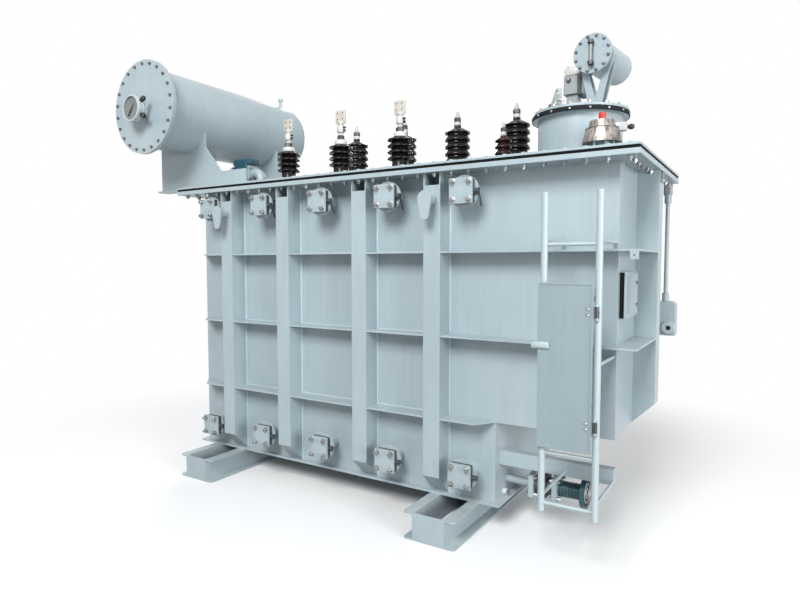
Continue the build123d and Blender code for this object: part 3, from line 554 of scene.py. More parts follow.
gauge_enamel = enamel("gauge_enamel", (0.43, 0.50, 0.51), 0.32, 0.002, 0.1)
dress(gauge_enamel, "oil_level_gauge")
black_moulding = gloss("black_moulding", (0.012, 0.013, 0.014), 0.35)
gauge_low, gauge_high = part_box("oil_level_gauge")
gauge_middle = (gauge_low + gauge_high) / 2
dial_radius = (gauge_high.x - gauge_low.x) / 2
dial_floor = gauge_low.y + 0.008
bezel = turned([(dial_radius - 0.011, 0.0), (dial_radius - 0.011, 0.010), (dial_radius - 0.004, 0.012),
                (dial_radius + 0.004, 0.009), (dial_radius + 0.006, 0.002), (dial_radius + 0.005, -0.014),
                (dial_radius - 0.001, -0.016), (dial_radius - 0.011, 0.0)])
set_out(bezel, "gauge_bezel", [((gauge_middle.x, gauge_low.y, gauge_middle.z), (0, -1, 0))], gauge_enamel)
face = turned([(0.0, 0.0), (dial_radius - 0.030, 0.0), (dial_radius - 0.024, 0.002),
               (dial_radius - 0.0105, 0.003), (dial_radius - 0.0105, -0.002)])
set_out(face, "gauge_face", [((gauge_middle.x, dial_floor - 0.002, gauge_middle.z), (0, -1, 0))],
        gloss("gauge_grey", (0.17, 0.18, 0.18), 0.22))
mark_ring = dial_radius - 0.040
marks = []
for step in range(9):
    lean = math.radians(-120 + 30 * step)
    length = 0.020 if step % 2 == 0 else 0.012
    mark = block((0.004, 0.002, length), (gauge_middle.x, dial_floor - 0.0035, gauge_middle.z))
    panel(mark, (0, -1, 0), 0.0006)
    out = Vector((math.sin(lean), 0, math.cos(lean))) * mark_ring
    mark.matrix_world = Matrix.Translation(mark.location + out) @ Matrix.Rotation(lean, 4, "Y")
    marks.append(mark)
settle(joined(marks), "gauge_marks", gloss("mark_grey", (0.34, 0.35, 0.35)))
clear_bench()
bpy.ops.mesh.primitive_cone_add(vertices=4, radius1=0.011, radius2=0.002, depth=0.092,
                                location=(gauge_middle.x, dial_floor - 0.006, gauge_middle.z))
pointer = bpy.context.object
pointer.scale = (1.0, 0.22, 1.0)
pick_faces(pointer, lambda middle, facing: facing.z < -0.9)
bpy.ops.mesh.inset(thickness=0.002)
bpy.ops.mesh.extrude_region_move(TRANSFORM_OT_translate={"value": (0, 0, -0.030)})
bpy.ops.object.mode_set(mode="OBJECT")
pointer.rotation_euler = (0, math.radians(38), 0)
settle(pointer, "gauge_pointer", black_moulding)
neck_y = gauge_low.y + 0.048 + 0.014
set_out(hex_form(0.018, 0.011, 0.024), "gauge_neck_bolts",
        ring_of((gauge_middle.x, neck_y, gauge_middle.z), 0.077, 6, (0, 1, 0), 30), dull_zinc)
gland = turned([(0.0, 0.0), (0.015, 0.0), (0.015, 0.022), (0.021, 0.022), (0.021, 0.040), (0.017, 0.050),
                (0.011, 0.056), (0.009, 0.050), (0.0, 0.050)], 12)
gland_seat = Vector((gauge_middle.x, gauge_low.y + 0.030, gauge_middle.z))
gland_places = []
for rise in (0.5, -0.5):
    lean = Vector((0.86, 0, rise)).normalized()
    gland_places.append((gland_seat + lean * (dial_radius - 0.004), lean))
set_out(gland, "gauge_glands", gland_places, black_moulding)


# Gas relay: a cast body in dark teal enamel between square flanges, on the pipe from cover to conservator.
# It has a wiring box and a round test cover on top, and a bolt at each corner of its flanges.
teal_enamel = enamel("teal_enamel", (0.022, 0.085, 0.115), 0.3, 0.002, 0.15)
dress(teal_enamel, "gas_relay")
relay_low, relay_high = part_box("gas_relay")
relay_middle = (relay_low + relay_high) / 2
relay_flange = 0.016
relay_bolt_offset = 0.048
relay_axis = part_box("relay_pipes")[0].z + 0.155


def square_of(x, y, z, offset, way):
    """Four places at the corners of a square flange that faces along x."""
    return [((x, y + across, z + up), (way, 0, 0))
            for across in (-offset, offset) for up in (-offset, offset)]


relay_bolts = []
for face_x, way in ((relay_low.x - relay_flange, -1), (relay_high.x + relay_flange, 1)):
    relay_bolts += square_of(face_x, relay_middle.y, relay_axis, relay_bolt_offset, way)
set_out(hex_form(0.022, 0.014, 0.030, end=0.008), "relay_flange_bolts", relay_bolts, zinc)
relay_body_top = relay_axis + 0.075
wiring_box = block((0.210, 0.118, 0.050),
                   (relay_middle.x + 0.014, relay_middle.y, relay_body_top + 0.024))
panel(wiring_box, (0, 0, 1), 0.006, 0.006, soft=0.004)
settle(wiring_box, "relay_wiring_box", teal_enamel)
lid = turned([(0.0, 0.016), (0.022, 0.016), (0.030, 0.012), (0.044, 0.010), (0.048, 0.006), (0.048, -0.006),
              (0.036, -0.010)], 24)
set_out(lid, "relay_lid", [((relay_middle.x, relay_middle.y, relay_high.z), (0, 0, 1))], teal_enamel)


# Bushings: hollow porcelain with thin drip sheds under a dark glaze, three low-voltage in front,
# four high-voltage behind and a small brown one for the neutral. Each is turned and fired in one piece.
def glaze(name, colour):
    """Glazed porcelain: glossy, with small waves in the glaze and a little dust on the sheds."""
    material, tree, shader = new_finish(name, metallic=0.0, specular_ior_level=0.22, coat_weight=0.06,
                                        coat_roughness=0.1)
    place = on_piece(tree)
    wave = mottle(tree, place, 30.0, 2.0)
    facing = tree.node("ShaderNodeNewGeometry", out=1)
    upward = ease(tree, height_of(tree, facing), 0.45, 0.95)
    dusty = upward * ease(tree, mottle(tree, place, 25.0, 4.0), 0.45, 0.8)
    tint = blend(tree, wave, shade(colour, 0.7), shade(colour, 1.0))
    feed(tree, shader, base_color=blend(tree, dusty * 0.03, tint, (0.32, 0.30, 0.28, 1)),
         roughness=0.22 + dusty * 0.25, normal=bumps(tree, 0.08, 0.003, wave))
    return material


def shed_outline(core, shed, count, pitch, neck, top, crown, foot_flare):
    """The outline of a stack of drooping drip sheds, with a bare neck below and a crown above."""
    reach = shed - core
    outline = [(0.0, 0.0), (core + foot_flare, 0.0), (core + foot_flare, 0.012), (core, 0.024)]
    for step in range(count):
        foot = neck + step * pitch
        outline += [
            (core, foot + 0.24 * pitch),
            (core + 0.45 * reach, foot + 0.14 * pitch),
            (shed - 0.05 * reach, foot - 0.04 * pitch),
            (shed, foot + 0.05 * pitch),
            (shed - 0.06 * reach, foot + 0.17 * pitch),
        ]
        if step < count - 1:
            outline += [
                (core + 0.55 * reach, foot + 0.40 * pitch),
                (core + 0.16 * reach, foot + 0.58 * pitch),
                (core, foot + 0.74 * pitch),
            ]
    lip = neck + (count - 1) * pitch + 0.17 * pitch
    slope = shed - crown
    outline += [
        (crown + 0.50 * slope, lip + 0.38 * (top - lip)),
        (crown + 0.14 * slope, lip + 0.64 * (top - lip)),
        (crown, lip + 0.76 * (top - lip)),
        (crown, top - 0.002),
        (0.94 * crown, top),
        (0.0, top),
    ]
    return outline


def middles(name):
    """The upright axes of a row of turned solids: their middles along x, and their shared y."""
    low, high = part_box(name)
    return [((left + right) / 2, (low.y + high.y) / 2) for left, right in spans(name, 0, 0.02)]


def standing(rises, height):
    """Places on upright axes, all at one height and facing up."""
    return [((x, y, height), (0, 0, 1)) for x, y in rises]


dark_glaze = glaze("dark_glaze", (0.010, 0.008, 0.008))
brown_glaze = glaze("brown_glaze", (0.026, 0.011, 0.009))
lv_rises = middles("lv_insulators")
hv_rises = middles("hv_insulators")
neutral_rise = middles("neutral_insulator")
lv_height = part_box("lv_insulators")[1].z - cover_top
lv_sheds = turned(shed_outline(core=0.060, shed=0.095, count=4, pitch=0.046, neck=0.126, top=lv_height,
                               crown=0.057, foot_flare=0.008), 48)
lv_porcelain = set_out(lv_sheds, "lv_porcelain", standing(lv_rises, cover_top), dark_glaze, crease=50)
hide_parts("lv_insulators")
hv_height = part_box("hv_insulators")[1].z - cover_top
hv_sheds = turned(shed_outline(core=0.084, shed=0.104, count=7, pitch=0.058, neck=0.056, top=hv_height,
                               crown=0.030, foot_flare=0.004), 48)
hv_porcelain = set_out(hv_sheds, "hv_porcelain", standing(hv_rises, cover_top), dark_glaze, crease=50)
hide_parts("hv_insulators")
neutral_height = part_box("neutral_insulator")[1].z - cover_top
neutral_sheds = turned(shed_outline(core=0.044, shed=0.062, count=5, pitch=0.046, neck=0.052,
                                    top=neutral_height, crown=0.026, foot_flare=0.004), 40)
neutral_porcelain = set_out(neutral_sheds, "neutral_porcelain", standing(neutral_rise, cover_top),
                            brown_glaze, crease=50)
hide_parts("neutral_insulator")


# Clamp rings: cast rings that hold each bushing's foot down on the cover, with six nuts on their studs.
# They are painted with the cover.
dress(tank_enamel, "clamp_rings")
ring_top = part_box("clamp_rings")[1].z
ring_studs = []
for rises, core in ((lv_rises, 0.068), (hv_rises, 0.086), (neutral_rise, 0.048)):
    for x, y in rises:
        ring_studs += ring_of((x, y, ring_top), core + 0.019, 6, (0, 0, 1), 15)
set_out(hex_form(0.017, 0.012, 0.024, end=0.016), "clamp_nuts", ring_studs, zinc)


# Low-voltage terminals: a white sealing cap, dark lock nuts, a tinned clamp on the stem, and a flag of
# tinned copper with four bolt holes for the cable lugs. The high-voltage stems are plain and pointed.
def moulded_cap(radius, height):
    """A shallow cap with rounded shoulders."""
    return turned([(0.0, height), (0.55 * radius, height), (0.80 * radius, 0.94 * height),
                   (0.94 * radius, 0.80 * height), (radius, 0.60 * height), (radius, 0.08 * height),
                   (0.95 * radius, 0.0), (0.0, 0.0)], 32)


def bore(piece, drill):
    """Cuts the form of a drill out of a piece."""
    hole = piece.modifiers.new("hole", "BOOLEAN")
    hole.operation = "DIFFERENCE"
    hole.object = drill
    clear_bench()
    bpy.context.view_layer.objects.active = piece
    bpy.ops.object.modifier_apply(modifier="hole")
    bpy.data.objects.remove(drill)


def raised(places, lift):
    """The same places, further up."""
    return [(Vector(point) + Vector((0, 0, lift)), facing) for point, facing in places]


tinned = gloss("tinned_copper", (0.50, 0.50, 0.47), 0.36)
cap_white = gloss("cap_white", (0.56, 0.56, 0.54), 0.42)
dark_nut = plated("dark_nut", (0.10, 0.10, 0.11), 0.4)
terminal_low, terminal_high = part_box("lv_terminals")
lv_places = standing(lv_rises, terminal_low.z)
hv_places = standing(hv_rises, cover_top + hv_height)
neutral_places = standing(neutral_rise, cover_top + neutral_height)
lv_cap_height = 0.040
set_out(moulded_cap(0.050, lv_cap_height), "lv_caps", lv_places, cap_white)
set_out(hex_form(0.056, 0.026, 0.066), "lv_lock_nuts", raised(lv_places, lv_cap_height), dark_nut)
stem_rise = 0.064
stem = turned([(0.0, 0.0), (0.018, 0.0), (0.018, 0.030), (0.030, 0.034), (0.031, 0.050), (0.031, 0.076),
               (0.027, 0.082), (0.018, 0.084), (0.018, 0.098), (0.024, 0.099), (0.024, 0.112),
               (0.016, 0.114), (0.016, 0.122), (0.0, 0.122)], 24)
set_out(stem, "lv_stems", raised(lv_places, stem_rise), tinned)
clamp_bolts = [((x + 0.029, y, terminal_low.z + stem_rise + lift), (1, 0, 0))
               for x, y in lv_rises for lift in (0.046, 0.070)]
set_out(hex_form(0.017, 0.012, 0.022, end=0.006), "lv_clamp_bolts", clamp_bolts, dark_nut)
flag_width = 0.096
flag_height = 0.098
flag_drop = 0.020
flag_thickness = 0.014
flag = block((flag_width, flag_thickness, flag_height), (0, 0, 0))
pick_faces(flag, lambda middle, facing: facing.z < -0.9)
bpy.ops.mesh.extrude_region_move(TRANSFORM_OT_translate={"value": (0, 0, -0.016)})
bpy.ops.transform.resize(value=(0.42, 1.0, 1.0))
bpy.ops.object.mode_set(mode="OBJECT")
soften(flag, 0.004)
drills = []
for across in (-0.024, 0.024):
    for up in (-0.023, 0.023):
        bpy.ops.mesh.primitive_cylinder_add(vertices=20, radius=0.0095, depth=0.05,
                                            location=(across, 0, up), rotation=(math.pi / 2, 0, 0))
        drills.append(bpy.context.object)
bore(flag, joined(drills))
flags = []
for x, y in lv_rises:
    copy = flag.copy()
    copy.data = flag.data.copy()
    bpy.context.collection.objects.link(copy)
    copy.location = (x, y, terminal_high.z - flag_drop - flag_height / 2)
    flags.append(copy)
bpy.data.objects.remove(flag)
cream_tin = gloss("cream_tin", (0.50, 0.47, 0.41), 0.5)
lv_flags = settle(joined(flags), "lv_flags", cream_tin)
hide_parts("lv_terminals")
small_cap_height = 0.032
set_out(moulded_cap(0.029, small_cap_height), "hv_caps", hv_places, cap_white)
set_out(moulded_cap(0.022, small_cap_height), "neutral_cap", neutral_places, cap_white)
set_out(hex_form(0.050, 0.026, 0.058), "hv_lock_nuts", raised(hv_places, small_cap_height), dark_nut)
set_out(hex_form(0.036, 0.022, 0.044), "neutral_lock_nut", raised(neutral_places, small_cap_height),
        dark_nut)
hv_stem = turned([(0.0, 0.0), (0.019, 0.0), (0.019, 0.016), (0.015, 0.030), (0.008, 0.052), (0.003, 0.058),
                  (0.0, 0.059)], 24)
hv_stems = set_out(hv_stem, "hv_stems", raised(hv_places, 0.058), cream_tin)
neutral_stem = turned([(0.0, 0.0), (0.013, 0.0), (0.013, 0.034), (0.009, 0.042), (0.0, 0.042)], 24)
set_out(neutral_stem, "neutral_stem", raised(neutral_places, 0.054), cream_tin)
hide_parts("hv_terminals")


# Tap-changer turret: a welded drum on the cover, closed by a head plate with a ring of bolts.
# A dark band with small screws wraps the joint: partly the rubber gasket between the flanges, partly painted
# shade for the lower flange's rim in shadow under the head. The head carries the gearbox that turns the
# switch, two eye bolts, a lifting lug and the drum's own small conservator.
dress(tank_enamel, "tap_changer_turret", "tap_changer_head")
head_low, head_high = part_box("tap_changer_head")
head_middle = (head_low + head_high) / 2
head_radius = (head_high.x - head_low.x) / 2
turret_flange_foot = head_low.z - 0.022
head_bolt_count = 16
set_out(hex_form(0.024, 0.015, 0.034), "head_bolts",
        ring_of((head_middle.x, head_middle.y, head_high.z), head_radius - 0.022, head_bolt_count,
                (0, 0, 1), 4), zinc)
# The band is partly the gasket's own black and partly painted shade over the turret flange's rim, which lies
# in shadow under the head.
band_height = head_high.z - turret_flange_foot - 0.016
band = turned([(head_radius - 0.002, 0.0), (head_radius + 0.002, 0.0), (head_radius + 0.003, 0.002),
               (head_radius + 0.003, band_height - 0.002), (head_radius + 0.002, band_height),
               (head_radius - 0.002, band_height), (head_radius - 0.002, 0.0)], 64)
set_out(band, "head_joint_gasket_and_shade_band", [((head_middle.x, head_middle.y, turret_flange_foot), (0, 0, 1))],
        rubber("band_gasket_and_painted_shade", (0.014, 0.017, 0.018)))
band_screw = turned([(0.0, 0.006), (0.005, 0.005), (0.008, 0.001), (0.008, 0.0), (0.0, 0.0)], 12)
band_middle = (head_middle.x, head_middle.y, turret_flange_foot + band_height / 2)
screw_places = []
for point, up in ring_of(band_middle, head_radius + 0.003, head_bolt_count, (0, 0, 1), 4):
    outward = point - head_middle
    screw_places.append((point, Vector((outward.x, outward.y, 0)).normalized()))
set_out(band_screw, "head_band_screws", screw_places, zinc)
drive_enamel = enamel("drive_enamel", (0.30, 0.33, 0.34), 0.34, 0.003, 0.2)
dress(drive_enamel, "tap_changer_gearbox")
gear_low, gear_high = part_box("tap_changer_gearbox")
gear_middle = (gear_low + gear_high) / 2
gear_width = gear_high.x - gear_low.x
gear_depth = gear_high.y - gear_low.y
gear_lid = block((gear_width - 0.010, gear_depth - 0.010, 0.050),
                 (gear_middle.x, gear_middle.y, gear_high.z - 0.024))
pick_faces(gear_lid, lambda middle, facing: facing.z > 0.9)
bpy.ops.mesh.inset(thickness=0.012)
bpy.ops.transform.translate(value=(0, 0, 0.006))
bpy.ops.object.mode_set(mode="OBJECT")
soften(gear_lid, 0.006)
settle(gear_lid, "gearbox_lid", enamel("lid_enamel", (0.58, 0.58, 0.55), 0.4, 0.003, 0.3))
lid_bolt_edge = 0.026
lid_bolts = [((x, y, gear_high.z + 0.004), (0, 0, 1))
             for x in (gear_low.x + lid_bolt_edge, gear_high.x - lid_bolt_edge)
             for y in (gear_low.y + lid_bolt_edge, gear_high.y - lid_bolt_edge)]
set_out(hex_form(0.012, 0.008, 0.016), "gearbox_lid_bolts", lid_bolts, zinc)
gear_plug = turned([(0.0, 0.0), (0.016, 0.0), (0.016, 0.012), (0.011, 0.016), (0.011, 0.024),
                    (0.0, 0.026)], 16)
set_out(gear_plug, "gearbox_sight_plug",
        [((gear_middle.x - 0.020, gear_low.y, gear_high.z - 0.080), (0, -1, 0))], dull_zinc)
gear_frame = block((0.026, gear_depth + 0.012, 0.134),
                   (gear_high.x - 0.004, gear_middle.y, gear_middle.z + 0.030))
panel(gear_frame, (1, 0, 0), 0.014, -0.010)
settle(gear_frame, "gearbox_frame", valve_casting)
eye_bolt_ring = 0.026
clear_bench()
bpy.ops.mesh.primitive_torus_add(major_radius=eye_bolt_ring, minor_radius=0.008, major_segments=20,
                                 minor_segments=8, location=(0, 0, eye_bolt_ring + 0.020),
                                 rotation=(math.pi / 2, 0, 0))
eye = bpy.context.object
bpy.ops.object.transform_apply(location=True, rotation=True)
bpy.ops.object.mode_set(mode="EDIT")
bpy.ops.mesh.primitive_cone_add(vertices=16, radius1=0.022, radius2=0.012, depth=0.018,
                                location=(0, 0, 0.009))
bpy.ops.object.mode_set(mode="OBJECT")
eye_places = [((head_middle.x - 0.090, head_middle.y - 0.175, head_high.z), (0, 0, 1)),
              ((head_middle.x - 0.120, head_middle.y + 0.190, head_high.z), (0, 0, 1))]
set_out(eye, "head_eye_bolts", eye_places, zinc, crease=60)
lug_width = 0.090
lug_height = 0.160
lug = block((lug_width, 0.016, lug_height),
            (gear_low.x - 0.006 - lug_width / 2, gear_low.y - 0.014, head_high.z + lug_height / 2))
pick_faces(lug, lambda middle, facing: facing.z > 0.9)
bpy.ops.transform.resize(value=(0.40, 1, 1))
bpy.ops.transform.translate(value=(0.30 * lug_width, 0, 0))
bpy.ops.object.mode_set(mode="OBJECT")
soften(lug, 0.004)
bpy.ops.mesh.primitive_cylinder_add(vertices=20, radius=0.010, depth=0.05, rotation=(math.pi / 2, 0, 0),
                                    location=lug.location + Vector((0.28 * lug_width, 0, 0.34 * lug_height)))
bore(lug, bpy.context.object)
settle(lug, "head_lifting_lug", drive_enamel)
breather = turned([(0.0, 0.0), (0.024, 0.0), (0.024, 0.016), (0.017, 0.022), (0.017, 0.060), (0.026, 0.066),
                   (0.026, 0.086), (0.020, 0.094), (0.0, 0.096)], 20)
set_out(breather, "head_vent_plug",
        [((head_middle.x - 0.200, head_middle.y + 0.010, head_high.z), (0, 0, 1))], black_moulding)


# Small conservator: a short drum on two cradle stands above the head, closed by a bolted disc in front.
# Its oil shows in a glass tube between two elbows with brass tails, guarded by a rail at each side.
dress(tank_enamel, "small_conservator_shell", "small_conservator_disc", "small_conservator_end",
      "small_conservator_stands")
small_low, small_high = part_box("small_conservator_disc")
small_middle = (small_low + small_high) / 2
small_turn = math.radians(-7.6)
small_facing = Vector((math.sin(small_turn), -math.cos(small_turn), 0))
small_radius = (small_high.z - small_low.z) / 2
set_out(hex_form(0.016, 0.010, 0.022), "small_disc_bolts",
        ring_of(small_middle + 0.006 * small_facing, small_radius - 0.014, 12, small_facing, 15), dull_zinc)
brass = plated("sight_brass", (0.66, 0.50, 0.24), 0.3)
glass_low, glass_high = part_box("sight_glass")
tube_axis = small_middle + small_facing * 0.028
tube_foot = Vector((tube_axis.x, tube_axis.y, glass_low.z + 0.026))
elbow = turned([(0.0, 0.0), (0.013, 0.0), (0.017, 0.004), (0.017, 0.012), (0.020, 0.012), (0.020, 0.024),
                (0.012, 0.028), (0.0, 0.028)], 16)
elbow_places = [(Vector((tube_axis.x, tube_axis.y, glass_low.z)), (0, 0, 1)),
                (Vector((tube_axis.x, tube_axis.y, glass_high.z)), (0, 0, -1))]
set_out(elbow, "sight_elbows", elbow_places, dark_nut)
tail = turned([(0.0, 0.0), (0.010, 0.0), (0.010, 0.016), (0.016, 0.016), (0.016, 0.024), (0.0, 0.024)], 16)
tail_places = [(Vector((tube_axis.x, tube_axis.y, z)), -small_facing)
               for z in (glass_low.z + 0.014, glass_high.z - 0.014)]
set_out(tail, "sight_tails", tail_places, brass)
tube_length = glass_high.z - glass_low.z - 0.052
tube = turned([(0.0, 0.0), (0.007, 0.0), (0.007, 0.5 * tube_length), (0.007, tube_length),
               (0.0, tube_length)], 16)
sight_tube = set_out(tube, "sight_tube", [(tube_foot, (0, 0, 1))],
                     gloss("tube_glass", (0.36, 0.40, 0.38), 0.08))
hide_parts("sight_glass")
along = Vector((-small_facing.y, small_facing.x, 0))
rail = turned([(0.0, 0.0), (0.0025, 0.001), (0.0025, tube_length - 0.001), (0.0, tube_length)], 10)
rail_places = [(tube_foot + side * 0.0110 * along, (0, 0, 1)) for side in (-1, 1)]
set_out(rail, "sight_rails", rail_places, dark_nut)
small_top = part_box("small_conservator_shell")[1].z
filler = turned([(0.0, -0.006), (0.012, -0.006), (0.012, 0.010), (0.017, 0.010), (0.017, 0.020),
                 (0.012, 0.026), (0.0, 0.026)], 16)
filler_place = small_middle - small_facing * 0.250
set_out(filler, "small_filler_plug",
        [((filler_place.x, filler_place.y, small_top - 0.016), (0, 0, 1))], dull_zinc)


# Pressure relief valve: a cast seat on six posts under a two-step hood of spun stainless steel.
# A red pin stands up through the hood when it has blown, and a small switch sits at its side.
def spun_steel(name, colour):
    """Spun stainless sheet: bright, with fine rings, and upright streaks where it was rubbed down."""
    material, tree, shader = new_finish(name, metallic=1.0)
    place = on_piece(tree)
    flattened = tree.node("ShaderNodeMapping", None, {"Vector": place, "Scale": (6.0, 6.0, 420.0)})
    rings = mottle(tree, flattened, 1.0, 3.0)
    upright = tree.node("ShaderNodeMapping", None, {"Vector": place, "Scale": (95.0, 95.0, 0.6)})
    streaks = ease(tree, mottle(tree, upright, 1.0, 2.0), 0.36, 0.64)
    tint = blend(tree, streaks, shade(colour, 0.42), shade(colour, 1.12))
    feed(tree, shader, base_color=tint, roughness=0.42 + (rings - 0.5) * 0.22,
         normal=bumps(tree, 0.1, 0.001, rings))
    return material


dress(tank_enamel, "relief_valve_body")
dress(spun_steel("spun_stainless", (0.40, 0.355, 0.325)), "relief_valve_hood")
dress(gloss("tell_tale_red", (0.50, 0.028, 0.018), 0.4), "relief_valve_button")
hood_low, hood_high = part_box("relief_valve_hood")
hood_middle = (hood_low + hood_high) / 2
hood_step = hood_low.z + 0.085
rolled_edge = turned([(0.096, -0.002), (0.0985, 0.0), (0.0985, 0.003), (0.096, 0.005), (0.084, 0.005),
                      (0.084, -0.002), (0.096, -0.002)], 48)
set_out(rolled_edge, "relief_hood_edge", [((hood_middle.x, hood_middle.y, hood_step), (0, 0, 1))], dull_zinc)
set_out(hex_form(0.020, 0.014, 0.028, end=0.012), "relief_base_nuts",
        ring_of((hood_middle.x, hood_middle.y, cover_top + 0.016), 0.080, 6, (0, 0, 1), 30), zinc)
switch_side = Vector((0.94, 0.34, 0)).normalized()
switch_seat = Vector((hood_middle.x, hood_middle.y, hood_high.z - 0.040)) + switch_side * 0.106
switch_box = block((0.070, 0.052, 0.046), switch_seat, math.atan2(switch_side.y, switch_side.x))
panel(switch_box, (0, 0, 1), 0.005, 0.005, soft=0.003)
settle(switch_box, "relief_switch", gloss("switch_grey", (0.42, 0.44, 0.44), 0.35))
switch_gland = turned([(0.0, 0.0), (0.012, 0.0), (0.012, 0.016), (0.017, 0.016), (0.017, 0.032),
                       (0.010, 0.044), (0.0, 0.044)], 12)
set_out(switch_gland, "relief_switch_gland", [(switch_seat + switch_side * 0.034, switch_side)],
        black_moulding)


# Drive of the tap changer at the back corner: a bevel gearbox beside the cover's edge, an upright shaft with
# clamped couplings, and the motor drive cabinet, a painted sheet-steel box on two carrier plates.
# The cabinet has a plain door behind and a round cable entry in front.
dress(drive_enamel, "bevel_gearbox")
dress(tank_enamel, "motor_drive", "drive_shaft")


def quarter_turn_lock(radius, height):
    """A round lock with a sunk keyhole."""
    return turned([(0.0, 0.0), (radius, 0.0), (radius, height), (radius - 0.003, height + 0.003),
                   (radius - 0.008, height + 0.003), (radius - 0.008, height), (0.0, height)], 16)


motor_low, motor_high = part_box("motor_drive")
motor_middle = (motor_low + motor_high) / 2
door = block((motor_high.x - motor_low.x - 0.040, 0.008, motor_high.z - motor_low.z - 0.070),
             (motor_middle.x, motor_high.y, motor_middle.z - 0.012))
panel(door, (0, 1, 0), 0.012, 0.003, soft=0.0015)
settle(door, "motor_drive_door", tank_enamel)
set_out(quarter_turn_lock(0.012, 0.006), "motor_drive_locks",
        [((motor_low.x + 0.050, motor_high.y + 0.006, motor_low.z + up), (0, 1, 0))
         for up in (0.060, 0.160)], dull_zinc)
motor_front = motor_high.y - 0.120
entry = turned([(0.0, 0.004), (0.016, 0.004), (0.018, 0.016), (0.044, 0.016), (0.047, 0.013), (0.047, 0.0),
                (0.0, 0.0)], 32)
entry_place = (motor_high.x - 0.044, motor_front, motor_low.z + 0.058)
set_out(entry, "motor_cable_entry", [(entry_place, (0, -1, 0))], gauge_enamel)
bung = turned([(0.0, 0.008), (0.014, 0.008), (0.0165, 0.006), (0.0165, 0.004), (0.0, 0.004)], 20)
set_out(bung, "motor_entry_bung", [(entry_place, (0, -1, 0))], black_moulding)


# Ladder: two round stiles with welded rungs and standoffs to the tank, painted a shade paler than the tank.
# Its guard door, a flat steel sheet hung on the right stile, keeps people off the lower rungs while shut.
ladder_enamel = enamel("ladder_enamel", (0.40, 0.49, 0.51), 0.34)
dress(ladder_enamel, "ladder_rungs", "ladder_standoffs", "ladder_stiles")
guard_enamel = enamel("guard_enamel", (0.255, 0.325, 0.355), 0.4)
dress(guard_enamel, "ladder_guard")
guard_low, guard_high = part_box("ladder_guard")
stile_low, stile_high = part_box("ladder_stiles")
stile_axes = [((left + right) / 2, stile_high.y - 0.019) for left, right in spans("ladder_stiles", 0, 0.1)]
stile_cap = turned([(0.0, 0.006), (0.010, 0.005), (0.017, 0.002), (0.0195, -0.003), (0.0195, -0.008),
                    (0.0, -0.008)], 20)
set_out(stile_cap, "stile_caps", standing(stile_axes, stile_high.z), ladder_enamel)
guard_middle = (guard_low + guard_high) / 2
guard_height = guard_high.z - guard_low.z
guard_face = guard_middle.y - 0.002
sheet_right = guard_high.x - 0.028
sheet_left = stile_low.x
fold = block((sheet_right - sheet_left, 0.003, guard_height),
             ((sheet_left + sheet_right) / 2, guard_face - 0.0015, guard_middle.z))
panel(fold, (0, -1, 0), 0.012, -0.002)
settle(fold, "guard_edge_fold", guard_enamel, "guard")
hinge_axis = (guard_high.x - 0.011, guard_middle.y)
knuckle_band = turned([(0.0115, 0.0), (0.0128, 0.001), (0.0128, 0.058), (0.0115, 0.059)], 16)
hinge_feet = [guard_low.z + share * guard_height for share in (0.13, 0.80)]
set_out(knuckle_band, "guard_knuckles", [((*hinge_axis, z + 0.0005), (0, 0, 1)) for z in hinge_feet],
        dark_nut, "guard")
rivets = []
for z in hinge_feet:
    for up in (0.014, 0.046):
        rivets.append(((sheet_right - 0.030, guard_face - 0.0025, z + up), (0, -1, 0)))
rivet = turned([(0.0, 0.005), (0.005, 0.0042), (0.008, 0.001), (0.008, 0.0), (0.0, 0.0)], 12)
set_out(rivet, "guard_hinge_rivets", rivets, zinc, "guard")
hasp_low = guard_low.z + 0.60 * guard_height
hasp = block((0.100, 0.006, 0.036), (sheet_left + 0.016, guard_face - 0.010, hasp_low + 0.022))
panel(hasp, (0, -1, 0), 0.006, 0.004, soft=0.002)
settle(hasp, "guard_hasp", ladder_enamel, "guard")


# Bracket beam and oil pump line: a folded channel from the lower end wall that carries the ladder's foot,
# and under it the pipe with its bolted flanges, an iron valve, and a small motor in teal enamel
# whose fan turns in an open cover behind a wire guard.
dress(tank_enamel, "ladder_bracket", "pump_pipe")
dress(valve_casting, "pump_valve")
dress(teal_enamel, "pump_motor", "pump_fan_cover")
pipe_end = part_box("pump_pipe")[1].x
valve_low, valve_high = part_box("pump_valve")
fan_low, fan_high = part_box("pump_fan_cover")
pump_axis = (fan_low + fan_high) / 2
pump_bolt_offset = 0.056
pump_bolts = []
for x, way in ((valve_low.x - 0.032, -1), (valve_low.x, 1), (valve_high.x, -1), (pipe_end, 1)):
    pump_bolts += square_of(x, pump_axis.y, pump_axis.z, pump_bolt_offset, way)
set_out(hex_form(0.020, 0.013, 0.028, end=0.006), "pump_flange_bolts", pump_bolts, zinc)
fan_radius = (fan_high.z - fan_low.z) / 2
fan_mouth = Vector((fan_high.x - 0.006, pump_axis.y, pump_axis.z))
rings = []
for share in (0.30, 0.62, 0.92):
    wire = share * fan_radius
    ring = turned([(wire - 0.004, 0.0), (wire, -0.003), (wire + 0.004, 0.0), (wire, 0.003),
                   (wire - 0.004, 0.0)], 32)
    ring.matrix_world = Matrix.Translation(fan_mouth) @ Matrix.Rotation(math.pi / 2, 4, "Y")
    rings.append(ring)
settle(joined(rings), "pump_fan_rings", zinc, crease=60)
bar_length = 1.94 * fan_radius
bar = turned([(0.0, -0.5 * bar_length), (0.0025, 0.002 - 0.5 * bar_length),
              (0.0025, 0.5 * bar_length - 0.002), (0.0, 0.5 * bar_length)], 8)
bar_places = []
for step in range(4):
    lean = math.pi * step / 4
    bar_places.append((fan_mouth - Vector((0.005, 0, 0)), (0, math.sin(lean), math.cos(lean))))
set_out(bar, "pump_fan_bars", bar_places, dull_zinc)


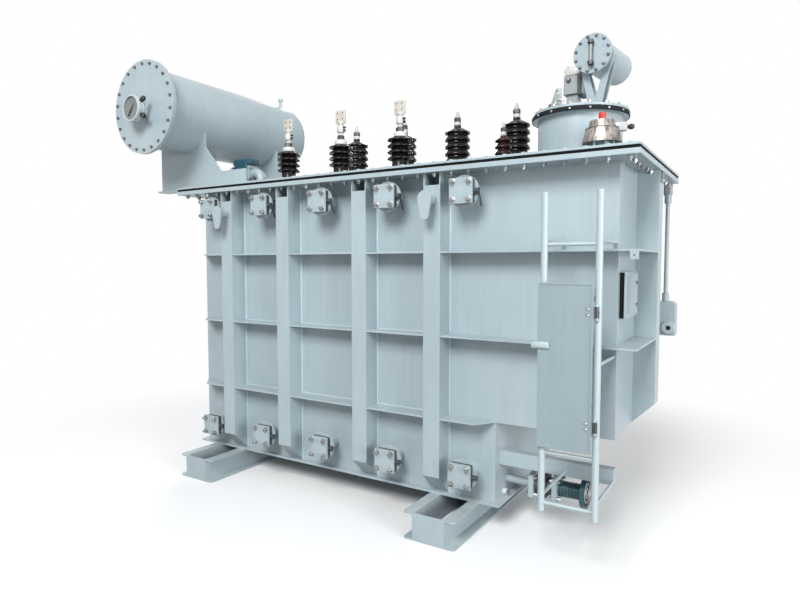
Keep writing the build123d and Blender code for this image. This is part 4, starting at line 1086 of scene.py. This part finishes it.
# Earthing stud: a turned steel boss welded low on the lower end wall, with a plated bolt for the strap.
# The paint is left off its face.
end_low, end_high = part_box("lower_end_wall")
stud_place = Vector((end_high.x, end_low.y + 0.140, end_low.z + 0.026))
boss = turned([(0.0, 0.022), (0.018, 0.022), (0.022, 0.019), (0.022, 0.003), (0.025, 0.0), (0.0, 0.0)], 24)
set_out(boss, "earth_boss", [(stud_place, (1, 0, 0))], cap_white)
set_out(hex_form(0.020, 0.013, 0.030), "earth_bolt", [(stud_place + Vector((0.022, 0, 0)), (1, 0, 0))], zinc)


# Instrument box: a shallow sheet-steel box on the right end wall, painted with the tank.
# It has a plain lift-off door with a folded rim, two quarter-turn locks, and a black strip along its near
# side.
dress(tank_enamel, "instrument_box")
box_low, box_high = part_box("instrument_box")
box_middle = (box_low + box_high) / 2
box_height = box_high.z - box_low.z
box_door = block((0.010, box_high.y - box_low.y - 0.012, box_height - 0.012),
                 (box_high.x, box_middle.y, box_middle.z))
panel(box_door, (1, 0, 0), 0.014, -0.003, soft=0.002)
settle(box_door, "instrument_box_door", tank_enamel)
set_out(quarter_turn_lock(0.011, 0.005), "instrument_box_locks",
        [((box_high.x + 0.002, box_high.y - 0.034, box_low.z + share * box_height), (1, 0, 0))
         for share in (0.25, 0.75)], dull_zinc)
near_strip = block((0.024, 0.006, box_height - 0.010), (box_low.x + 0.017, box_low.y - 0.002, box_middle.z))
panel(near_strip, (0, -1, 0), 0.005, -0.002)
settle(near_strip, "instrument_box_black_strip", rubber("black_strip_rubber", (0.008, 0.008, 0.009)))


# Floor, light and camera: a pale floor that fades to white, soft light from above and in front,
# and a camera at eye height, off the tap-changer end.
def camera_sees(tree):
    """1 where the camera looks at a surface, straight or in a gloss or through glass."""
    straight = tree.node("ShaderNodeLightPath", out=0)
    in_gloss = tree.node("ShaderNodeLightPath", out=3)
    through = tree.node("ShaderNodeLightPath", out=6)
    return tree.reckon("MAXIMUM", straight, tree.reckon("MAXIMUM", in_gloss, through))


clear_bench()
bpy.ops.mesh.primitive_circle_add(vertices=96, radius=16.0, fill_type="NGON", location=(0, 0, -0.0005))
floor = bpy.context.object
floor.name = "floor"
floor_paint, tree, shader = new_finish("floor_paint", roughness=0.9, metallic=0.0)
far = tree.node("ShaderNodeVectorMath", {"operation": "LENGTH"}, {0: on_piece(tree)}, out=1)
fade_start = 2.6
fade_end = 5.0
fade = ease(tree, far, fade_start, fade_end)
seen = camera_sees(tree)
white = tree.node("ShaderNodeEmission", None, {"Color": (1, 1, 1, 1), "Strength": 1.0})
pale = tree.node("ShaderNodeBsdfDiffuse", None, {"Color": (0.86, 0.86, 0.86, 1)})
bare = blend(tree, mottle(tree, on_piece(tree), 0.8), (0.30, 0.30, 0.30, 1), (0.34, 0.34, 0.34, 1))
feed(tree, shader, base_color=bare)
painted = Tone(tree.tree, shader.outputs[0])
near_floor = tree.node("ShaderNodeMixShader", None, {0: seen, 1: painted, 2: pale})
whole_floor = tree.node("ShaderNodeMixShader", None, {0: fade * seen, 1: near_floor, 2: white})
tree.tree.links.new(whole_floor.socket, tree.tree.nodes["Material Output"].inputs["Surface"])
floor.data.materials.append(floor_paint)

world = bpy.data.worlds.new("studio")
bpy.context.scene.world = world
world.use_nodes = True
sky = Tone(world.node_tree)
soft = sky.node("ShaderNodeBackground", None, {"Color": (0.95, 0.97, 1.0, 1), "Strength": 0.42})
plain = sky.node("ShaderNodeBackground", None, {"Color": (1, 1, 1, 1), "Strength": 1.0})
backdrop = sky.node("ShaderNodeMixShader", None, {0: camera_sees(sky), 1: soft, 2: plain})
world.node_tree.links.new(backdrop.socket, world.node_tree.nodes["World Output"].inputs["Surface"])


def lamp(name, place, target, size, power):
    """A soft square lamp aimed at a point."""
    bpy.ops.object.light_add(type="AREA", location=place)
    light = bpy.context.object
    light.name = name
    light.data.size = size
    light.data.energy = power
    light.rotation_euler = (Vector(target) - Vector(place)).to_track_quat("-Z", "Y").to_euler()


lamp("key", (2.2, -10.4, 9.2), (-0.2, 0, 1.0), 5.0, 1680)
lamp("fill", (13.0, -4.6, 2.9), (0.5, 0, 0.9), 5.0, 1180)
lamp("back", (-6.5, 10.5, 7.0), (0, 0, 1.2), 5.0, 750)
eye_height = 1.760
tilt_down = math.radians(3.42)
turn_left = math.radians(32.1)
bpy.ops.object.camera_add(location=(wall_low.x + 4.290, wall_low.y - 3.608, eye_height),
                          rotation=(math.radians(90) - tilt_down, 0, turn_left))
camera = bpy.context.object
camera.data.lens = 27
camera.data.sensor_width = 36
bpy.context.scene.camera = camera
